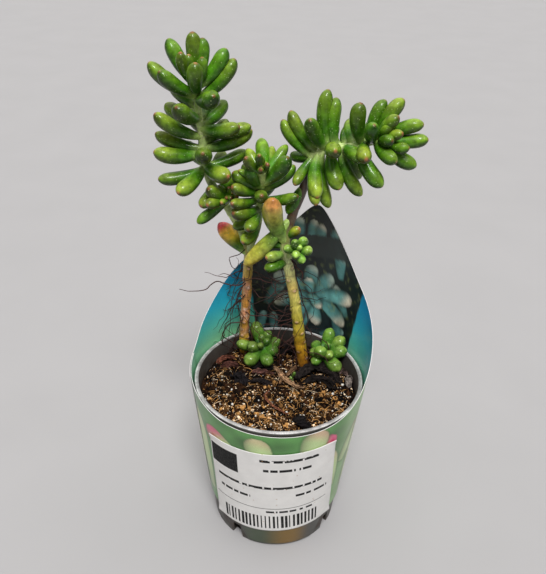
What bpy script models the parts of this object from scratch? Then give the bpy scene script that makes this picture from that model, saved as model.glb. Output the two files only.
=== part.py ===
"""A young jelly-bean sedum in its plastic nursery pot, with a printed wrap and a paper label.

Sizes are in millimetres and are turned into metres as each mesh is made. The origin is the
middle of the pot's flat underside, +Z is up, and the front of the pot, with its label, faces -Y.
A heading is in degrees round +Z: 0 points to the front, 90 to the right (+X).
"""

import math

import bmesh
import bpy
import numpy as np

MM = 0.001
GAP = 0.3
SHARP_ANGLE = 35

# Pot
POT_HEIGHT = 82.4
POT_WALL = 1.0
POT_FLOOR = 1.2
BASE_RADIUS = 30.9
NECK_RADIUS = 38.6
LIP_RADIUS = 39.5
LIP_DEPTH = 2.2
LIP_ROUND = 0.5
FLOOR_CORNER = 1.0
POT_STEPS = 48
NOTCH_HEADINGS = (-35, 55, 145, 235)
NOTCH_WIDTH = 6.5
NOTCH_TOP_WIDTH = 3.9
NOTCH_HEIGHT = 8.5
NOTCH_REACH = (-6.0, 4.0)

# Soil
SOIL_LEVEL = 74.0
SOIL_SLOPE = 0.03
SOIL_BUMP = 0.5
SOIL_FLAT_RADIUS = 36.5
SOIL_WAVES = 7
FIRST_WAVE = 0.12
WAVE_STEP = 0.07
SOIL_SEED = 4
SOIL_RINGS = 7
SOIL_CORNER = 1.5
SOIL_CLEARANCE = (0.4, 0.6)
HOLE_CLEARANCE = 0.35
HOLE_DEPTH = 0.5
HOLE_LENGTH = 22.0
HOLE_SIDES = 12
BURIED = 9.0

# Printed wrap, a cone that hugs the pot's foot and stands off its lip a little
WRAP_THICKNESS = 0.6
WRAP_SLACK = 0.8
WRAP_LOW = 16.0
WRAP_DIP = 1.5
WRAP_DIP_HEADING = 7
WRAP_DIP_HALF = 28
WRAP_DIP_EASE = 14
WRAP_STEPS = 72
TAG_HEADING = 160
# Height of the sheet's upper edge at each angle from the tag's point
TAG_EDGE = (
    (-180, 81), (-140, 81), (-115, 83.2), (-94, 89.8), (-64, 105), (-46, 113.8), (-34, 120.4), (-21, 131.2),
    (-11, 141.4), (-5, 147.4), (-2, 149.6), (0, 150), (2, 149.5), (6, 146.8), (15, 139.4), (33, 128),
    (51, 118), (59, 112.8), (70, 105.3), (82, 98), (94, 90.4), (105, 88), (123, 86.5), (144, 83.7),
    (162, 81.6), (180, 81),
)

# Paper label
LABEL_WIDTH = 62.0
LABEL_HEIGHT = 56.6
LABEL_THICKNESS = 0.3
LABEL_HEADING = -2.7
LABEL_MIDDLE = 41.6
LABEL_TURN = 2.7
LABEL_COLUMNS = 16

# Leaves: blunt clubs, widest at WIDEST of their length, that bow a little away from the stem's tip,
# apart from the old leaves of the woody stems, which are straight
WIDEST = 0.7
ROOT_SHARE = 0.42
BOW = 0.08
OLD_BOW = 0.0
LEAF_SIDES = 8
LEAF_PLACES = (0.0, 0.3, 0.7, 0.92)
SMALL_LEAF = 9.5
SMALL_SIDES = 6
SMALL_PLACES = (0.0, 0.35, 0.74, 0.93)
STEM_SIDES = 8
STEM_STEP = 5.0
ACROSS = (0, 1, 0)
CURVE_STEPS = 12

LEFT_RADII = (2.6, 2.1)
RIGHT_RADII = (3.0, 1.9)
FORK_RADII = (1.7, 1.6)
TWIG_RADII = (1.4, 1.3)

# Each stem is a route (x, y, z), and its radii are those at its foot and at its tip
LEFT_STEM = ((-17.4, 26, 64), (-18, 27, 75), (-18.3, 27.3, 91), (-17, 27, 109), (-16, 26.5, 125),
             (-15.8, 26, 135), (-18, 25.5, 142))
RIGHT_STEM = ((13.4, 18.4, 64), (12.7, 18, 75), (10, 17, 88), (6.8, 16, 109), (3.2, 15, 128.5),
              (1, 14.5, 142), (1.5, 15, 149), (4, 17, 159), (7.5, 18.5, 169), (9.5, 19, 178))
LEFT_FORK = ((-15.9, 26, 134), (-14.8, 24, 138.4), (-13.6, 22.2, 142.3))
ROSETTE_FORK = ((1.8, 14.5, 138), (2.9, 12.8, 140), (4, 11.5, 141.6))
# The side shoot's twig leaves the left shoot's own stem
SIDE_FORK = ((-25.5, 23.2, 158), (-25.6, 21.6, 160.2), (-25.4, 20, 161.8))

SHOOTS = {
    "left_shoot": (
        ((-18.1, 25.5, 142.3), (-19.7, 25, 147), (-26, 23, 159), (-32.5, 21, 171), (-34.5, 20, 181),
         (-35, 19.5, 189), (-36, 19, 198), (-36.5, 18.5, 207), (-36.5, 18, 213)),
        (1.9, 1.4),
    ),
    "middle_shoot": (
        ((-13.5, 22, 142.6), (-12.4, 20.4, 146.5), (-11.3, 19.6, 152), (-10.8, 19, 158),
         (-10.5, 17.5, 165), (-10, 14.5, 173), (-9.5, 9, 181)),
        (1.6, 1.4),
    ),
    "side_shoot": (((-25.3, 19.6, 162.2), (-24.5, 18, 163.7), (-23.5, 16.3, 164.8)), (1.3, 1.2)),
    "right_shoot": (
        ((9.6, 19, 178.3), (11, 19, 184), (15, 18, 187), (19, 17, 189), (25, 16, 190), (30, 14, 192),
         (34.5, 13, 193.5), (38, 12, 194.5)),
        (1.7, 1.3),
    ),
    "stem_rosette": (((4.2, 11.2, 141.9), (5.4, 10, 143.4), (6.5, 9, 145)), (1.1, 1.0)),
    "left_rosette": (((-9, 24, 64), (-9, 24, 75), (-8.5, 21.5, 84)), (1.7, 1.4)),
    "right_rosette": (((22.5, 21, 64), (22.5, 21, 75), (21.7, 18.5, 84)), (1.7, 1.4)),
    "sprout": (((6.6, 5.2, 68), (6.6, 5.2, 74.5), (6.2, 5, 77.5)), (0.8, 0.7)),
}

# Leaves as (place along the stem, heading, rise, length, width)
LEAVES = {
    "left_stem": ((69, -110, 40, 20, 8.0),),
    "right_stem": (
        (83, -31, 66, 27, 9.0), (94, -75, -45, 30, 7.0), (85, 65, 45, 9, 4.5), (77, -55, 5, 11, 5.0),
        (73, -60, -5, 12, 5.5), (81, -105, 5, 9, 5.0), (82, -145, 5, 8, 4.0), (110, -72, -60, 15, 5.5),
    ),
    "left_shoot": (
        (75, -155, 80, 20, 6.5), (75, 150, 75, 18, 6.0), (75, -45, 75, 13, 4.5), (74, 50, 75, 13, 4.5),
        (74, -55, 65, 16, 5.0), (75, -120, 50, 21, 6.5), (74, 110, 50, 19, 6.5), (71, -60, 35, 19, 6.5),
        (71, 5, 60, 17, 6.5), (70, -90, 35, 23, 6.5), (69, 105, 45, 22, 6.5), (69, 30, 20, 17, 7.5),
        (61, -30, 30, 17, 7.5), (60, -125, 10, 19, 6.5), (58, 140, 25, 17, 6.5), (57, 70, 10, 18, 6.5),
        (56, 95, 5, 21, 6.5), (53, -75, 30, 22, 6.5), (48, 100, 20, 22, 6.5), (48, -95, 15, 21, 6.0),
        (46, 5, 20, 16, 7.0), (46, -75, 5, 21, 7.0), (41, 40, 0, 17, 7.5), (40, -35, -20, 19, 7.0),
        (40, 110, 15, 19, 6.0), (39, -75, -10, 21, 6.0), (30, -25, -30, 12, 5.5), (28, 85, 30, 12, 4.5),
    ),
    "middle_shoot": (
        (41, -15, 60, 11, 3.5), (41, -175, 30, 18, 6.0), (40, 165, 25, 16, 4.5), (39, 140, 30, 18, 4.5),
        (38, -55, 50, 13, 4.5), (37, -145, 35, 15, 5.0), (35, -95, 20, 11, 3.0), (34, 15, 65, 11, 4.0),
        (32, 60, 50, 19, 7.0), (30, -87, 29, 14, 6.0), (30, -35, 55, 14, 6.0), (28, 105, 35, 18, 5.5),
        (27, -60, 20, 15, 5.5), (25, 5, 25, 9, 6.0), (23, 70, 15, 18, 5.0), (23, -45, 10, 17, 5.0),
        (18, -45, 10, 16, 6.5), (17, -20, -15, 14, 6.0), (14, -75, -20, 13, 5.0), (9, -35, -20, 12, 6.0),
    ),
    "side_shoot": (
        (5, -55, 35, 13, 6.0), (5, -75, 50, 8, 4.5), (5, -105, 85, 6, 2.5), (5, -20, 30, 5, 2.0),
        (5, -45, 5, 13, 5.0), (5, -25, 10, 8, 3.0), (5, -75, -35, 18, 5.0), (5, 70, 65, 4, 1.5),
    ),
    "right_shoot": (
        (36, 45, 30, 12, 4.5), (36, 85, 25, 18, 6.0), (36, 85, 5, 19, 6.0), (36, 25, 55, 11, 4.5),
        (36, 55, 0, 13, 5.0), (36, 15, 20, 12, 5.0), (35, 45, 55, 15, 5.5), (35, 110, 60, 19, 6.5),
        (36, 75, -30, 18, 6.5), (34, 30, -15, 15, 6.0), (33, -10, 45, 15, 6.0), (31, 130, 65, 18, 6.0),
        (30, -5, -5, 15, 6.5), (28, -40, 80, 18, 7.0), (27, 45, -45, 20, 7.0), (21, 165, 15, 16, 6.0),
        (21, 25, 0, 15, 6.0), (21, 110, -60, 17, 6.0), (19, 50, -55, 22, 6.0), (17, -5, 15, 15, 7.0),
        (17, -175, 75, 20, 6.5), (15, 20, -50, 18, 7.0), (14, -160, 80, 24, 6.5), (13, -50, 55, 18, 6.5),
        (11, 30, -70, 24, 6.0), (9, 0, -45, 20, 6.5), (9, -115, 50, 21, 6.0), (7, -135, -15, 14, 5.0),
        (6, -110, 45, 20, 5.5), (7, 5, -48, 22, 5.5), (7, -40, -38, 16, 4.5),
    ),
    "stem_rosette": (
        (5, -70, 15, 7, 4.0), (5, -25, 60, 7, 4.0), (5, 75, 60, 7, 4.5), (5, 60, 15, 7, 4.5),
        (5, -10, 0, 6, 4.0), (5, 25, -30, 7, 4.0), (5, 20, 45, 5, 3.0),
    ),
    "left_rosette": (
        (19, -150, 50, 13, 6.5), (18, -85, 15, 13, 5.5), (19, -50, 25, 9, 6.0), (19, 140, 45, 9, 5.5),
        (19, 100, 20, 10, 5.5), (19, 65, 0, 9, 6.0), (19, -35, -15, 13, 7.0), (19, 20, -15, 12, 6.5),
        (20, -175, 80, 6, 3.5), (20, 60, 55, 6, 3.5), (20, -10, 35, 6, 3.5),
    ),
    "right_rosette": (
        (20, 150, 50, 12, 6.0), (19, 110, 30, 13, 6.5), (19, -60, 20, 8, 5.0), (19, -20, 40, 9, 6.5),
        (20, 60, 60, 6, 3.5), (19, 80, 14, 12, 6.5), (20, 30, 15, 8, 5.0), (19, 40, -18, 13, 7.0),
        (19, -40, -15, 9, 5.0), (19, -150, 5, 9, 5.5),
    ),
    "sprout": ((9, 50, 45, 5, 1.8), (9, -70, 35, 4, 1.8), (8, -10, 50, 3, 1.6)),
}

# The far side, which the photo hides: count, first and last place, middle heading, half spread
FAR_SIDE = {
    "left_shoot": (8, 30, 66, 185, 50),
    "middle_shoot": (4, 18, 34, 180, 45),
    "right_shoot": (5, 8, 30, 180, 30),
}
FAR_LENGTH = 17.0
FAR_WIDTH = 6.0
FAR_RISE = 20
GOLDEN = 0.618

# Colour and roughness of each piece
FINISHES = {
    "pot": ((0.10, 0.095, 0.09), 0.45),
    "soil": ((0.055, 0.032, 0.018), 0.95),
    "wrap": ((0.05, 0.25, 0.27), 0.35),
    "label": ((0.80, 0.80, 0.78), 0.6),
    "left_stem": ((0.30, 0.16, 0.05), 0.6),
    "right_stem": ((0.32, 0.26, 0.06), 0.6),
    "shoot": ((0.10, 0.26, 0.04), 0.4),
    "rosette": ((0.20, 0.42, 0.06), 0.4),
}


def unit(vector):
    return vector / np.linalg.norm(vector)


def compass(heading, rise=0.0):
    """The unit vector of a heading and a rise, both in degrees."""
    turn, lift = math.radians(heading), math.radians(rise)
    return np.array((math.sin(turn) * math.cos(lift), -math.cos(turn) * math.cos(lift), math.sin(lift)))


def at_heading(heading, radius, height):
    """The point at a heading and radius round the pot's axis."""
    return radius * compass(heading) + np.array((0, 0, height))


def curve(points):
    """Close points of a Catmull-Rom curve through the given ones, and the distance along to each."""
    points = np.array(points, float)
    ends = np.vstack((2 * points[0] - points[1], points, 2 * points[-1] - points[-2]))
    share = np.linspace(0, 1, CURVE_STEPS, endpoint=False)[:, None]
    runs = []
    for a, b, c, d in zip(ends, ends[1:], ends[2:], ends[3:]):
        bend = 2 * a - 5 * b + 4 * c - d + share * (3 * (b - c) + d - a)
        runs.append(b + 0.5 * share * (c - a + share * bend))
    fine = np.vstack(runs + [points[-1:]])
    steps = np.linalg.norm(np.diff(fine, axis=0), axis=1)
    return fine, np.concatenate(([0], np.cumsum(steps)))


def through(points, places):
    """Points of the curve through the given ones, at distances along it."""
    fine, along = curve(points)
    return np.stack([np.interp(places, along, fine[:, axis]) for axis in range(3)], axis=1)


def length_of(points):
    return curve(points)[1][-1]


def tube(centres, radii, across, sides, point=None):
    """Vertices and faces of rings round a route, capped flat or, with a point, brought to it."""
    centres = np.array(centres, float)
    ways = np.gradient(centres, axis=0)
    turns = np.arange(sides) * 2 * math.pi / sides
    rings = []
    for centre, way, radius in zip(centres, ways, radii):
        side = unit(np.cross(way, across))
        top = unit(np.cross(way, side))
        rings.append(centre + radius * (np.cos(turns)[:, None] * side + np.sin(turns)[:, None] * top))
    vertices = np.vstack(rings)
    faces = [tuple(reversed(range(sides)))]
    for ring in range(len(centres) - 1):
        low = ring * sides
        for i in range(sides):
            j = (i + 1) % sides
            faces.append((low + i, low + j, low + sides + j, low + sides + i))
    last = (len(centres) - 1) * sides
    if point is None:
        faces.append(tuple(range(last, last + sides)))
    else:
        faces += [(last + i, last + (i + 1) % sides, len(vertices)) for i in range(sides)]
        vertices = np.vstack((vertices, point))
    return vertices, faces


def club(places):
    """A leaf's radius at shares of its length, as a share of its widest radius."""
    places = np.asarray(places, float)
    rising = ROOT_SHARE + (1 - ROOT_SHARE) * np.sin(np.minimum(places / WIDEST, 1) * math.pi / 2)
    round_tip = np.sqrt(np.clip(1 - (np.clip(places - WIDEST, 0, None) / (1 - WIDEST)) ** 2.2, 0, 1))
    return rising * round_tip


def leaf(root, towards, heading, rise, length, width, bend):
    """A club-shaped leaf from a point in its stem. It bows away from the stem's way and back."""
    way = compass(heading, rise)
    inward = towards - towards.dot(way) * way
    inward = unit(inward)
    small = length < SMALL_LEAF
    places = np.array(SMALL_PLACES if small else LEAF_PLACES)
    bow = 4 * bend * places * (1 - places)
    centres = root + length * (places[:, None] * way - bow[:, None] * inward)
    sides = SMALL_SIDES if small else LEAF_SIDES
    return tube(centres, width / 2 * club(places), inward, sides, root + length * way)


def stem(points, radii):
    """A stem's tube along its route."""
    total = length_of(points)
    places = np.linspace(0, total, max(3, round(total / STEM_STEP) + 1))
    return tube(through(points, places), np.interp(places, (0, total), radii), ACROSS, STEM_SIDES)


def far_leaves(name):
    """The leaves of a shoot's far side, spread by golden-ratio steps."""
    if name not in FAR_SIDE:
        return []
    count, first, last, middle, spread = FAR_SIDE[name]
    made = []
    for k in range(count):
        place = first + (last - first) * k / (count - 1)
        heading = middle + spread * (2 * math.fmod(GOLDEN * (k + 1), 1) - 1)
        made.append((place, heading, FAR_RISE, FAR_LENGTH, FAR_WIDTH))
    return made


def leaves_on(name, points):
    """Every leaf of a stem: the ones in its list, then those of its far side."""
    total = length_of(points)
    bend = OLD_BOW if name in ("left_stem", "right_stem") else BOW
    made = []
    for place, heading, rise, length, width in (*LEAVES[name], *far_leaves(name)):
        place = min(place, total)
        before, root = through(points, [max(place - 3, 0), place])
        made.append(leaf(root, unit(root - before), heading, rise, length, width, bend))
    return made


def mesh_object(name, vertices, faces):
    mesh = bpy.data.meshes.new(name)
    mesh.from_pydata((np.asarray(vertices) * MM).tolist(), [], [tuple(face) for face in faces])
    mesh.update()
    made = bpy.data.objects.new(name, mesh)
    bpy.context.scene.collection.objects.link(made)
    return made


def apply_modifiers(thing):
    """Keeps the evaluated mesh and drops the modifiers."""
    bpy.context.view_layer.update()
    graph = bpy.context.evaluated_depsgraph_get()
    mesh = bpy.data.meshes.new_from_object(thing.evaluated_get(graph))
    thing.modifiers.clear()
    thing.data = mesh


def fused(name, pieces):
    """One object from overlapping closed pieces, by one Boolean union on a collection of them."""
    first = mesh_object(name, *pieces[0])
    group = bpy.data.collections.new(name + "_pieces")
    bpy.context.scene.collection.children.link(group)
    for vertices, faces in pieces[1:]:
        made = mesh_object(name + "_piece", vertices, faces)
        bpy.context.scene.collection.objects.unlink(made)
        group.objects.link(made)
    union = first.modifiers.new("union", "BOOLEAN")
    union.operation = "UNION"
    union.operand_type = "COLLECTION"
    union.solver = "EXACT"
    union.use_self = True
    union.collection = group
    apply_modifiers(first)
    for made in list(group.objects):
        bpy.data.objects.remove(made)
    bpy.data.collections.remove(group)
    return first


def cut(thing, name, cutters):
    """Takes each cutter out of a thing and keeps the result."""
    for k, (vertices, faces) in enumerate(cutters):
        tool = mesh_object(f"{name}_{k}", vertices, faces)
        tool.hide_render = True
        tool.display_type = "WIRE"
        hole = thing.modifiers.new(f"{name}_{k}", "BOOLEAN")
        hole.operation = "DIFFERENCE"
        hole.object = tool
        apply_modifiers(thing)
        bpy.data.objects.remove(tool)


def paint(thing, finish):
    """Gives a thing its own plain material."""
    colour, roughness = FINISHES[finish]
    material = bpy.data.materials.new(thing.name)
    material.use_nodes = True
    shader = material.node_tree.nodes["Principled BSDF"]
    shader.inputs["Base Color"].default_value = (*colour, 1)
    shader.inputs["Roughness"].default_value = roughness
    shader.inputs["Metallic"].default_value = 0.0
    thing.data.materials.clear()
    thing.data.materials.append(material)


def smooth(thing):
    thing.data.shade_smooth()
    thing.data.set_sharp_from_angle(angle=math.radians(SHARP_ANGLE))


def wall_radius(height):
    """The pot's outer radius at a height."""
    return BASE_RADIUS + (NECK_RADIUS - BASE_RADIUS) * height / POT_HEIGHT


def inner_radius(height):
    return wall_radius(height) - POT_WALL


def turned(name, profile, steps):
    """A profile of (radius, height) points, from the Z axis back to it, turned once round it."""
    shape = bmesh.new()
    ring = [shape.verts.new((radius * MM, 0, height * MM)) for radius, height in profile]
    edges = [shape.edges.new((a, b)) for a, b in zip(ring, ring[1:])]
    bmesh.ops.spin(
        shape, geom=ring + edges, cent=(0, 0, 0), axis=(0, 0, 1), dvec=(0, 0, 0),
        angle=2 * math.pi, steps=steps, use_merge=True,
    )
    bmesh.ops.remove_doubles(shape, verts=shape.verts, dist=1e-6)
    bmesh.ops.recalc_face_normals(shape, faces=shape.faces)
    mesh = bpy.data.meshes.new(name)
    shape.to_mesh(mesh)
    shape.free()
    made = bpy.data.objects.new(name, mesh)
    bpy.context.scene.collection.objects.link(made)
    return made


def notch_cutter(heading):
    """A tapered block through the pot's foot."""
    way, side = compass(heading), compass(heading + 90)
    corners = []
    for reach in NOTCH_REACH:
        for width, height in ((NOTCH_WIDTH, -1), (NOTCH_TOP_WIDTH, NOTCH_HEIGHT)):
            for half in (-width / 2, width / 2):
                corners.append((BASE_RADIUS + reach) * way + half * side + np.array((0, 0, height)))
    faces = ((0, 2, 3, 1), (4, 5, 7, 6), (0, 1, 5, 4), (2, 6, 7, 3), (0, 4, 6, 2), (1, 3, 7, 5))
    return corners, faces


def make_pot():
    """The nursery pot: a tapered shell with a rolled lip and four drain notches in its foot."""
    top, neck = POT_HEIGHT, POT_HEIGHT - LIP_DEPTH
    corner = POT_FLOOR + FLOOR_CORNER
    profile = (
        (0, POT_FLOOR), (inner_radius(POT_FLOOR) - FLOOR_CORNER, POT_FLOOR),
        (inner_radius(corner), corner),
        (inner_radius(top - LIP_ROUND), top - LIP_ROUND), (inner_radius(top) + LIP_ROUND, top),
        (LIP_RADIUS - LIP_ROUND, top), (LIP_RADIUS, top - LIP_ROUND), (LIP_RADIUS, neck),
        (wall_radius(neck), neck), (wall_radius(LIP_ROUND), LIP_ROUND), (wall_radius(0) - LIP_ROUND, 0),
        (0, 0),
    )
    pot = turned("pot", profile, POT_STEPS)
    cut(pot, "notch", [notch_cutter(heading) for heading in NOTCH_HEADINGS])
    smooth(pot)
    paint(pot, "pot")


def soil_height(x, y):
    """The soil's uneven top: a few seeded waves that die out at the wall, and a rise at the back."""
    draw = np.random.default_rng(SOIL_SEED)
    height = SOIL_LEVEL + SOIL_SLOPE * y
    fade = max(1 - (math.hypot(x, y) / SOIL_FLAT_RADIUS) ** 6, 0)
    for wave in range(SOIL_WAVES):
        turn = draw.uniform(0, 2 * math.pi)
        shift = draw.uniform(0, 2 * math.pi)
        pace = FIRST_WAVE + WAVE_STEP * wave
        swing = math.sin(pace * (x * math.cos(turn) + y * math.sin(turn)) + shift)
        height += fade * SOIL_BUMP / (1 + wave / 2) * swing
    return height


def make_soil():
    """The soil plug: its sides follow the pot's inner wall and its top is uneven."""
    low = POT_FLOOR + GAP
    corner = low + SOIL_CORNER
    side_clearance, top_clearance = SOIL_CLEARANCE
    top_radius = inner_radius(SOIL_LEVEL) - top_clearance
    foot = ((inner_radius(low) - SOIL_CORNER, low), (inner_radius(corner) - side_clearance, corner))
    turns = [360 * i / POT_STEPS for i in range(POT_STEPS)]
    rows = [[at_heading(turn, radius, height) for turn in turns] for radius, height in foot]
    for ring in range(SOIL_RINGS, 0, -1):
        row = []
        for turn in turns:
            x, y, _ = at_heading(turn, top_radius * ring / SOIL_RINGS, 0)
            row.append((x, y, soil_height(x, y)))
        rows.append(row)
    vertices = [point for row in rows for point in row]
    faces = [tuple(reversed(range(POT_STEPS)))]
    for low_row in range(len(rows) - 1):
        start = low_row * POT_STEPS
        for i in range(POT_STEPS):
            j = (i + 1) % POT_STEPS
            faces.append((start + i, start + j, start + POT_STEPS + j, start + POT_STEPS + i))
    last = (len(rows) - 1) * POT_STEPS
    faces += [(last + i, last + (i + 1) % POT_STEPS, len(vertices)) for i in range(POT_STEPS)]
    vertices.append((0, 0, soil_height(0, 0)))
    soil = mesh_object("soil", vertices, faces)
    cut(soil, "hole", [hole_for(points, radius) for points, radius in buried_stems()])
    smooth(soil)
    paint(soil, "soil")


def buried_stems():
    """The route and foot radius of each stem that stands in the soil."""
    buried = [(LEFT_STEM, LEFT_RADII[0]), (RIGHT_STEM, RIGHT_RADII[0])]
    for name in ("left_rosette", "right_rosette", "sprout"):
        points, radii = SHOOTS[name]
        buried.append((points, radii[0]))
    return buried


def hole_for(points, radius):
    """A plain round hole along the buried part of a stem, a little wider and deeper than it."""
    foot, above = through(points, [0, BURIED])
    way = unit(above - foot)
    ends = np.array((foot - HOLE_DEPTH * way, foot + HOLE_LENGTH * way))
    return tube(ends, (radius + HOLE_CLEARANCE,) * 2, ACROSS, HOLE_SIDES)


def wrap_radius(height):
    """The wrap's inner radius: GAP off the pot's wall at its lowest edge, WRAP_SLACK off the lip."""
    low = wall_radius(WRAP_DIP) + GAP
    high = LIP_RADIUS + WRAP_SLACK
    return low + (high - low) * (height - WRAP_DIP) / (POT_HEIGHT - WRAP_DIP)


def wrap_top(heading):
    """The height of the wrap's upper edge, which rises to the tag's point at the back."""
    away = (heading - TAG_HEADING + 180) % 360 - 180
    edge, _ = curve(TAG_EDGE)
    return np.interp(away, edge[:, 0], edge[:, 1])


def wrap_bottom(heading):
    """The height of the wrap's lower edge, which dips to the floor below the label."""
    away = abs((heading - WRAP_DIP_HEADING + 180) % 360 - 180)
    share = min(max((away - WRAP_DIP_HALF) / WRAP_DIP_EASE, 0), 1)
    return WRAP_DIP + (WRAP_LOW - WRAP_DIP) * share * share * (3 - 2 * share)


def sheet(name, columns, thickness, ring):
    """A closed sheet from columns of its inner (point, outward way) pairs, joined up if it is a ring."""
    inner = [point for column in columns for point, _ in column]
    outer = [point + thickness * way for column in columns for point, way in column]
    count, start = len(columns), len(inner)
    faces = []
    for i in range(count if ring else count - 1):
        a, b = 2 * i, 2 * ((i + 1) % count)
        faces.append((a, a + 1, b + 1, b))
        faces.append((start + a, start + b, start + b + 1, start + a + 1))
        faces.append((a + 1, start + a + 1, start + b + 1, b + 1))
        faces.append((a, b, start + b, start + a))
    if not ring:
        end = 2 * (count - 1)
        faces.append((0, start, start + 1, 1))
        faces.append((end, end + 1, start + end + 1, start + end))
    made = mesh_object(name, inner + outer, faces)
    smooth(made)
    paint(made, name)


def make_wrap():
    """The printed wrap, with its tag."""
    columns = []
    for i in range(WRAP_STEPS):
        heading = 360 * i / WRAP_STEPS
        edges = (wrap_bottom(heading), wrap_top(heading))
        columns.append([(at_heading(heading, wrap_radius(z), z), compass(heading)) for z in edges])
    sheet("wrap", columns, WRAP_THICKNESS, ring=True)


def label_point(across, up):
    """A point of the label's sheet: millimetres from its middle, turned a little and wrapped round."""
    turn = math.radians(LABEL_TURN)
    along = across * math.cos(turn) - up * math.sin(turn)
    height = LABEL_MIDDLE + across * math.sin(turn) + up * math.cos(turn)
    radius = wrap_radius(height) + WRAP_THICKNESS + GAP
    heading = LABEL_HEADING + math.degrees(along / radius)
    return at_heading(heading, radius, height), compass(heading)


def make_label():
    """The paper label."""
    columns = []
    for i in range(LABEL_COLUMNS + 1):
        across = LABEL_WIDTH * (i / LABEL_COLUMNS - 0.5)
        columns.append([label_point(across, up) for up in (-LABEL_HEIGHT / 2, LABEL_HEIGHT / 2)])
    sheet("label", columns, LABEL_THICKNESS, ring=False)


def make_stems():
    """The two woody stems, each with its forks and the leaves that grow from it."""
    left = [stem(LEFT_STEM, LEFT_RADII), stem(LEFT_FORK, FORK_RADII)]
    left_stem = fused("left_stem", left + leaves_on("left_stem", LEFT_STEM))
    right = [stem(RIGHT_STEM, RIGHT_RADII), stem(ROSETTE_FORK, TWIG_RADII)]
    right_stem = fused("right_stem", right + leaves_on("right_stem", RIGHT_STEM))
    for thing in (left_stem, right_stem):
        smooth(thing)
        paint(thing, thing.name)


def make_shoots():
    """The leafy shoots, the rosettes and the sprout, each fused in one piece."""
    for name, (points, radii) in SHOOTS.items():
        stems = [stem(points, radii)]
        if name == "left_shoot":
            stems.append(stem(SIDE_FORK, TWIG_RADII))
        shoot = fused(name, stems + leaves_on(name, points))
        smooth(shoot)
        paint(shoot, "shoot" if name.endswith("shoot") else "rosette")


def main():
    for thing in list(bpy.data.objects):
        bpy.data.objects.remove(thing)
    make_pot()
    make_soil()
    make_wrap()
    make_label()
    make_stems()
    make_shoots()


if __name__ == "__main__":
    main()
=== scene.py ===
"""The looks of a young jelly-bean sedum in its nursery pot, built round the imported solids.

Laid out as an add-on and run as a script. Sizes in the tables below are in millimetres and become
metres as each mesh is made. The origin is the middle of the pot's underside, +Z is up, and the
front of the pot, with its label, faces -Y. A heading is in degrees round +Z: 0 points to the
front, 90 to the right (+X).
"""

import math

import bpy
import numpy as np
from mathutils import Matrix


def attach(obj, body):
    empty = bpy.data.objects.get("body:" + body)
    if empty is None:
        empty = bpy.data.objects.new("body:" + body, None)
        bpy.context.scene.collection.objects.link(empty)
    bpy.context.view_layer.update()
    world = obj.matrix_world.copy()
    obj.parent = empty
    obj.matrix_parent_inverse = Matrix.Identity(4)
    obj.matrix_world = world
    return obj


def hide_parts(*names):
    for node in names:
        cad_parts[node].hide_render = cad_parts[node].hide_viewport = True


bl_info = {
    "name": "Potted Sedum",
    "version": (1, 0, 0),
    "blender": (4, 5, 0),
    "location": "View3D > Sidebar > Sedum",
    "description": "Builds a potted jelly-bean sedum, piece by piece",
    "category": "Add Mesh",
}

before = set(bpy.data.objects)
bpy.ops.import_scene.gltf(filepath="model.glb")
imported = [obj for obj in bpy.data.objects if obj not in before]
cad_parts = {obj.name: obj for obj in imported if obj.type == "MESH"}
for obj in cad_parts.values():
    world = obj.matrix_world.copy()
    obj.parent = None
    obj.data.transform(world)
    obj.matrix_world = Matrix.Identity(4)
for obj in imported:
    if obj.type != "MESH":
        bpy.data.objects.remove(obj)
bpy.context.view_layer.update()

MM = 0.001
BODY = "root"

# The distance that touching pieces keep, and the pot and the wrap, as in the solids
GAP = 0.3
POT_HEIGHT = 82.4
POT_WALL = 1.0
POT_FLOOR = 1.2
BASE_RADIUS = 30.9
NECK_RADIUS = 38.6
LIP_RADIUS = 39.5
LIP_DEPTH = 2.2
NOTCH_HEADINGS = (-35, 55, 145, 235)
NOTCH_WIDTH = 6.5
NOTCH_TOP_WIDTH = 3.9
NOTCH_HEIGHT = 8.5
NOTCH_REACH = (-6.0, 4.0)
WRAP_SLACK = 0.8
WRAP_LOW = 16.0
WRAP_DIP = 1.5
WRAP_DIP_HEADING = 7
WRAP_DIP_HALF = 28
WRAP_DIP_EASE = 14
TAG_HEADING = 160
TAG_EDGE = (
    (-180, 81), (-140, 81), (-115, 83.2), (-94, 89.8), (-64, 105), (-46, 113.8), (-34, 120.4), (-21, 131.2),
    (-11, 141.4), (-5, 147.4), (-2, 149.6), (0, 150), (2, 149.5), (6, 146.8), (15, 139.4), (33, 128),
    (51, 118), (59, 112.8), (70, 105.3), (82, 98), (94, 90.4), (105, 88), (123, 86.5), (144, 83.7),
    (162, 81.6), (180, 81),
)
LABEL_HEADING = -2.7
LABEL_MIDDLE = 41.6
LABEL_TURN = 2.7

# The soil's broad waves, as in the solids
SOIL_LEVEL = 74.0
SOIL_SLOPE = 0.03
SOIL_BUMP = 0.5
SOIL_FLAT_RADIUS = 36.5
SOIL_WAVES = 7
FIRST_WAVE = 0.12
WAVE_STEP = 0.07
SOIL_SEED = 4

# Clods of the soil: (size, height, seed)
CLODS = ((8.0, 0.55, 11), (3.0, 0.8, 12), (1.5, 0.5, 13), (0.9, 0.25, 14))

# Leaves: blunt clubs, widest at WIDEST of their length, that bow a little away from the stem's tip.
# The leaves of the woody stems are old: straight and more pointed
WIDEST = 0.7
ROOT_SHARE = 0.42
BOW = 0.08
OLD_BOW = 0.0
BLUNT = 2.5
OLD_BLUNT = 1.8

# Steps from point to point of a curve and round a corner, and lattice points of the random lumps
CURVE_STEPS = 12
ROUND_STEPS = 6
LATTICE = 64

# Sides round each stem and root, and the distance between its rings
GREEN_SIDES = 28
GREEN_STEP = 0.8
WOODY_SIDES = 44
WOODY_STEP = 0.4
ROOT_SIDES = 5
ROOT_STEP = 0.8

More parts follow.
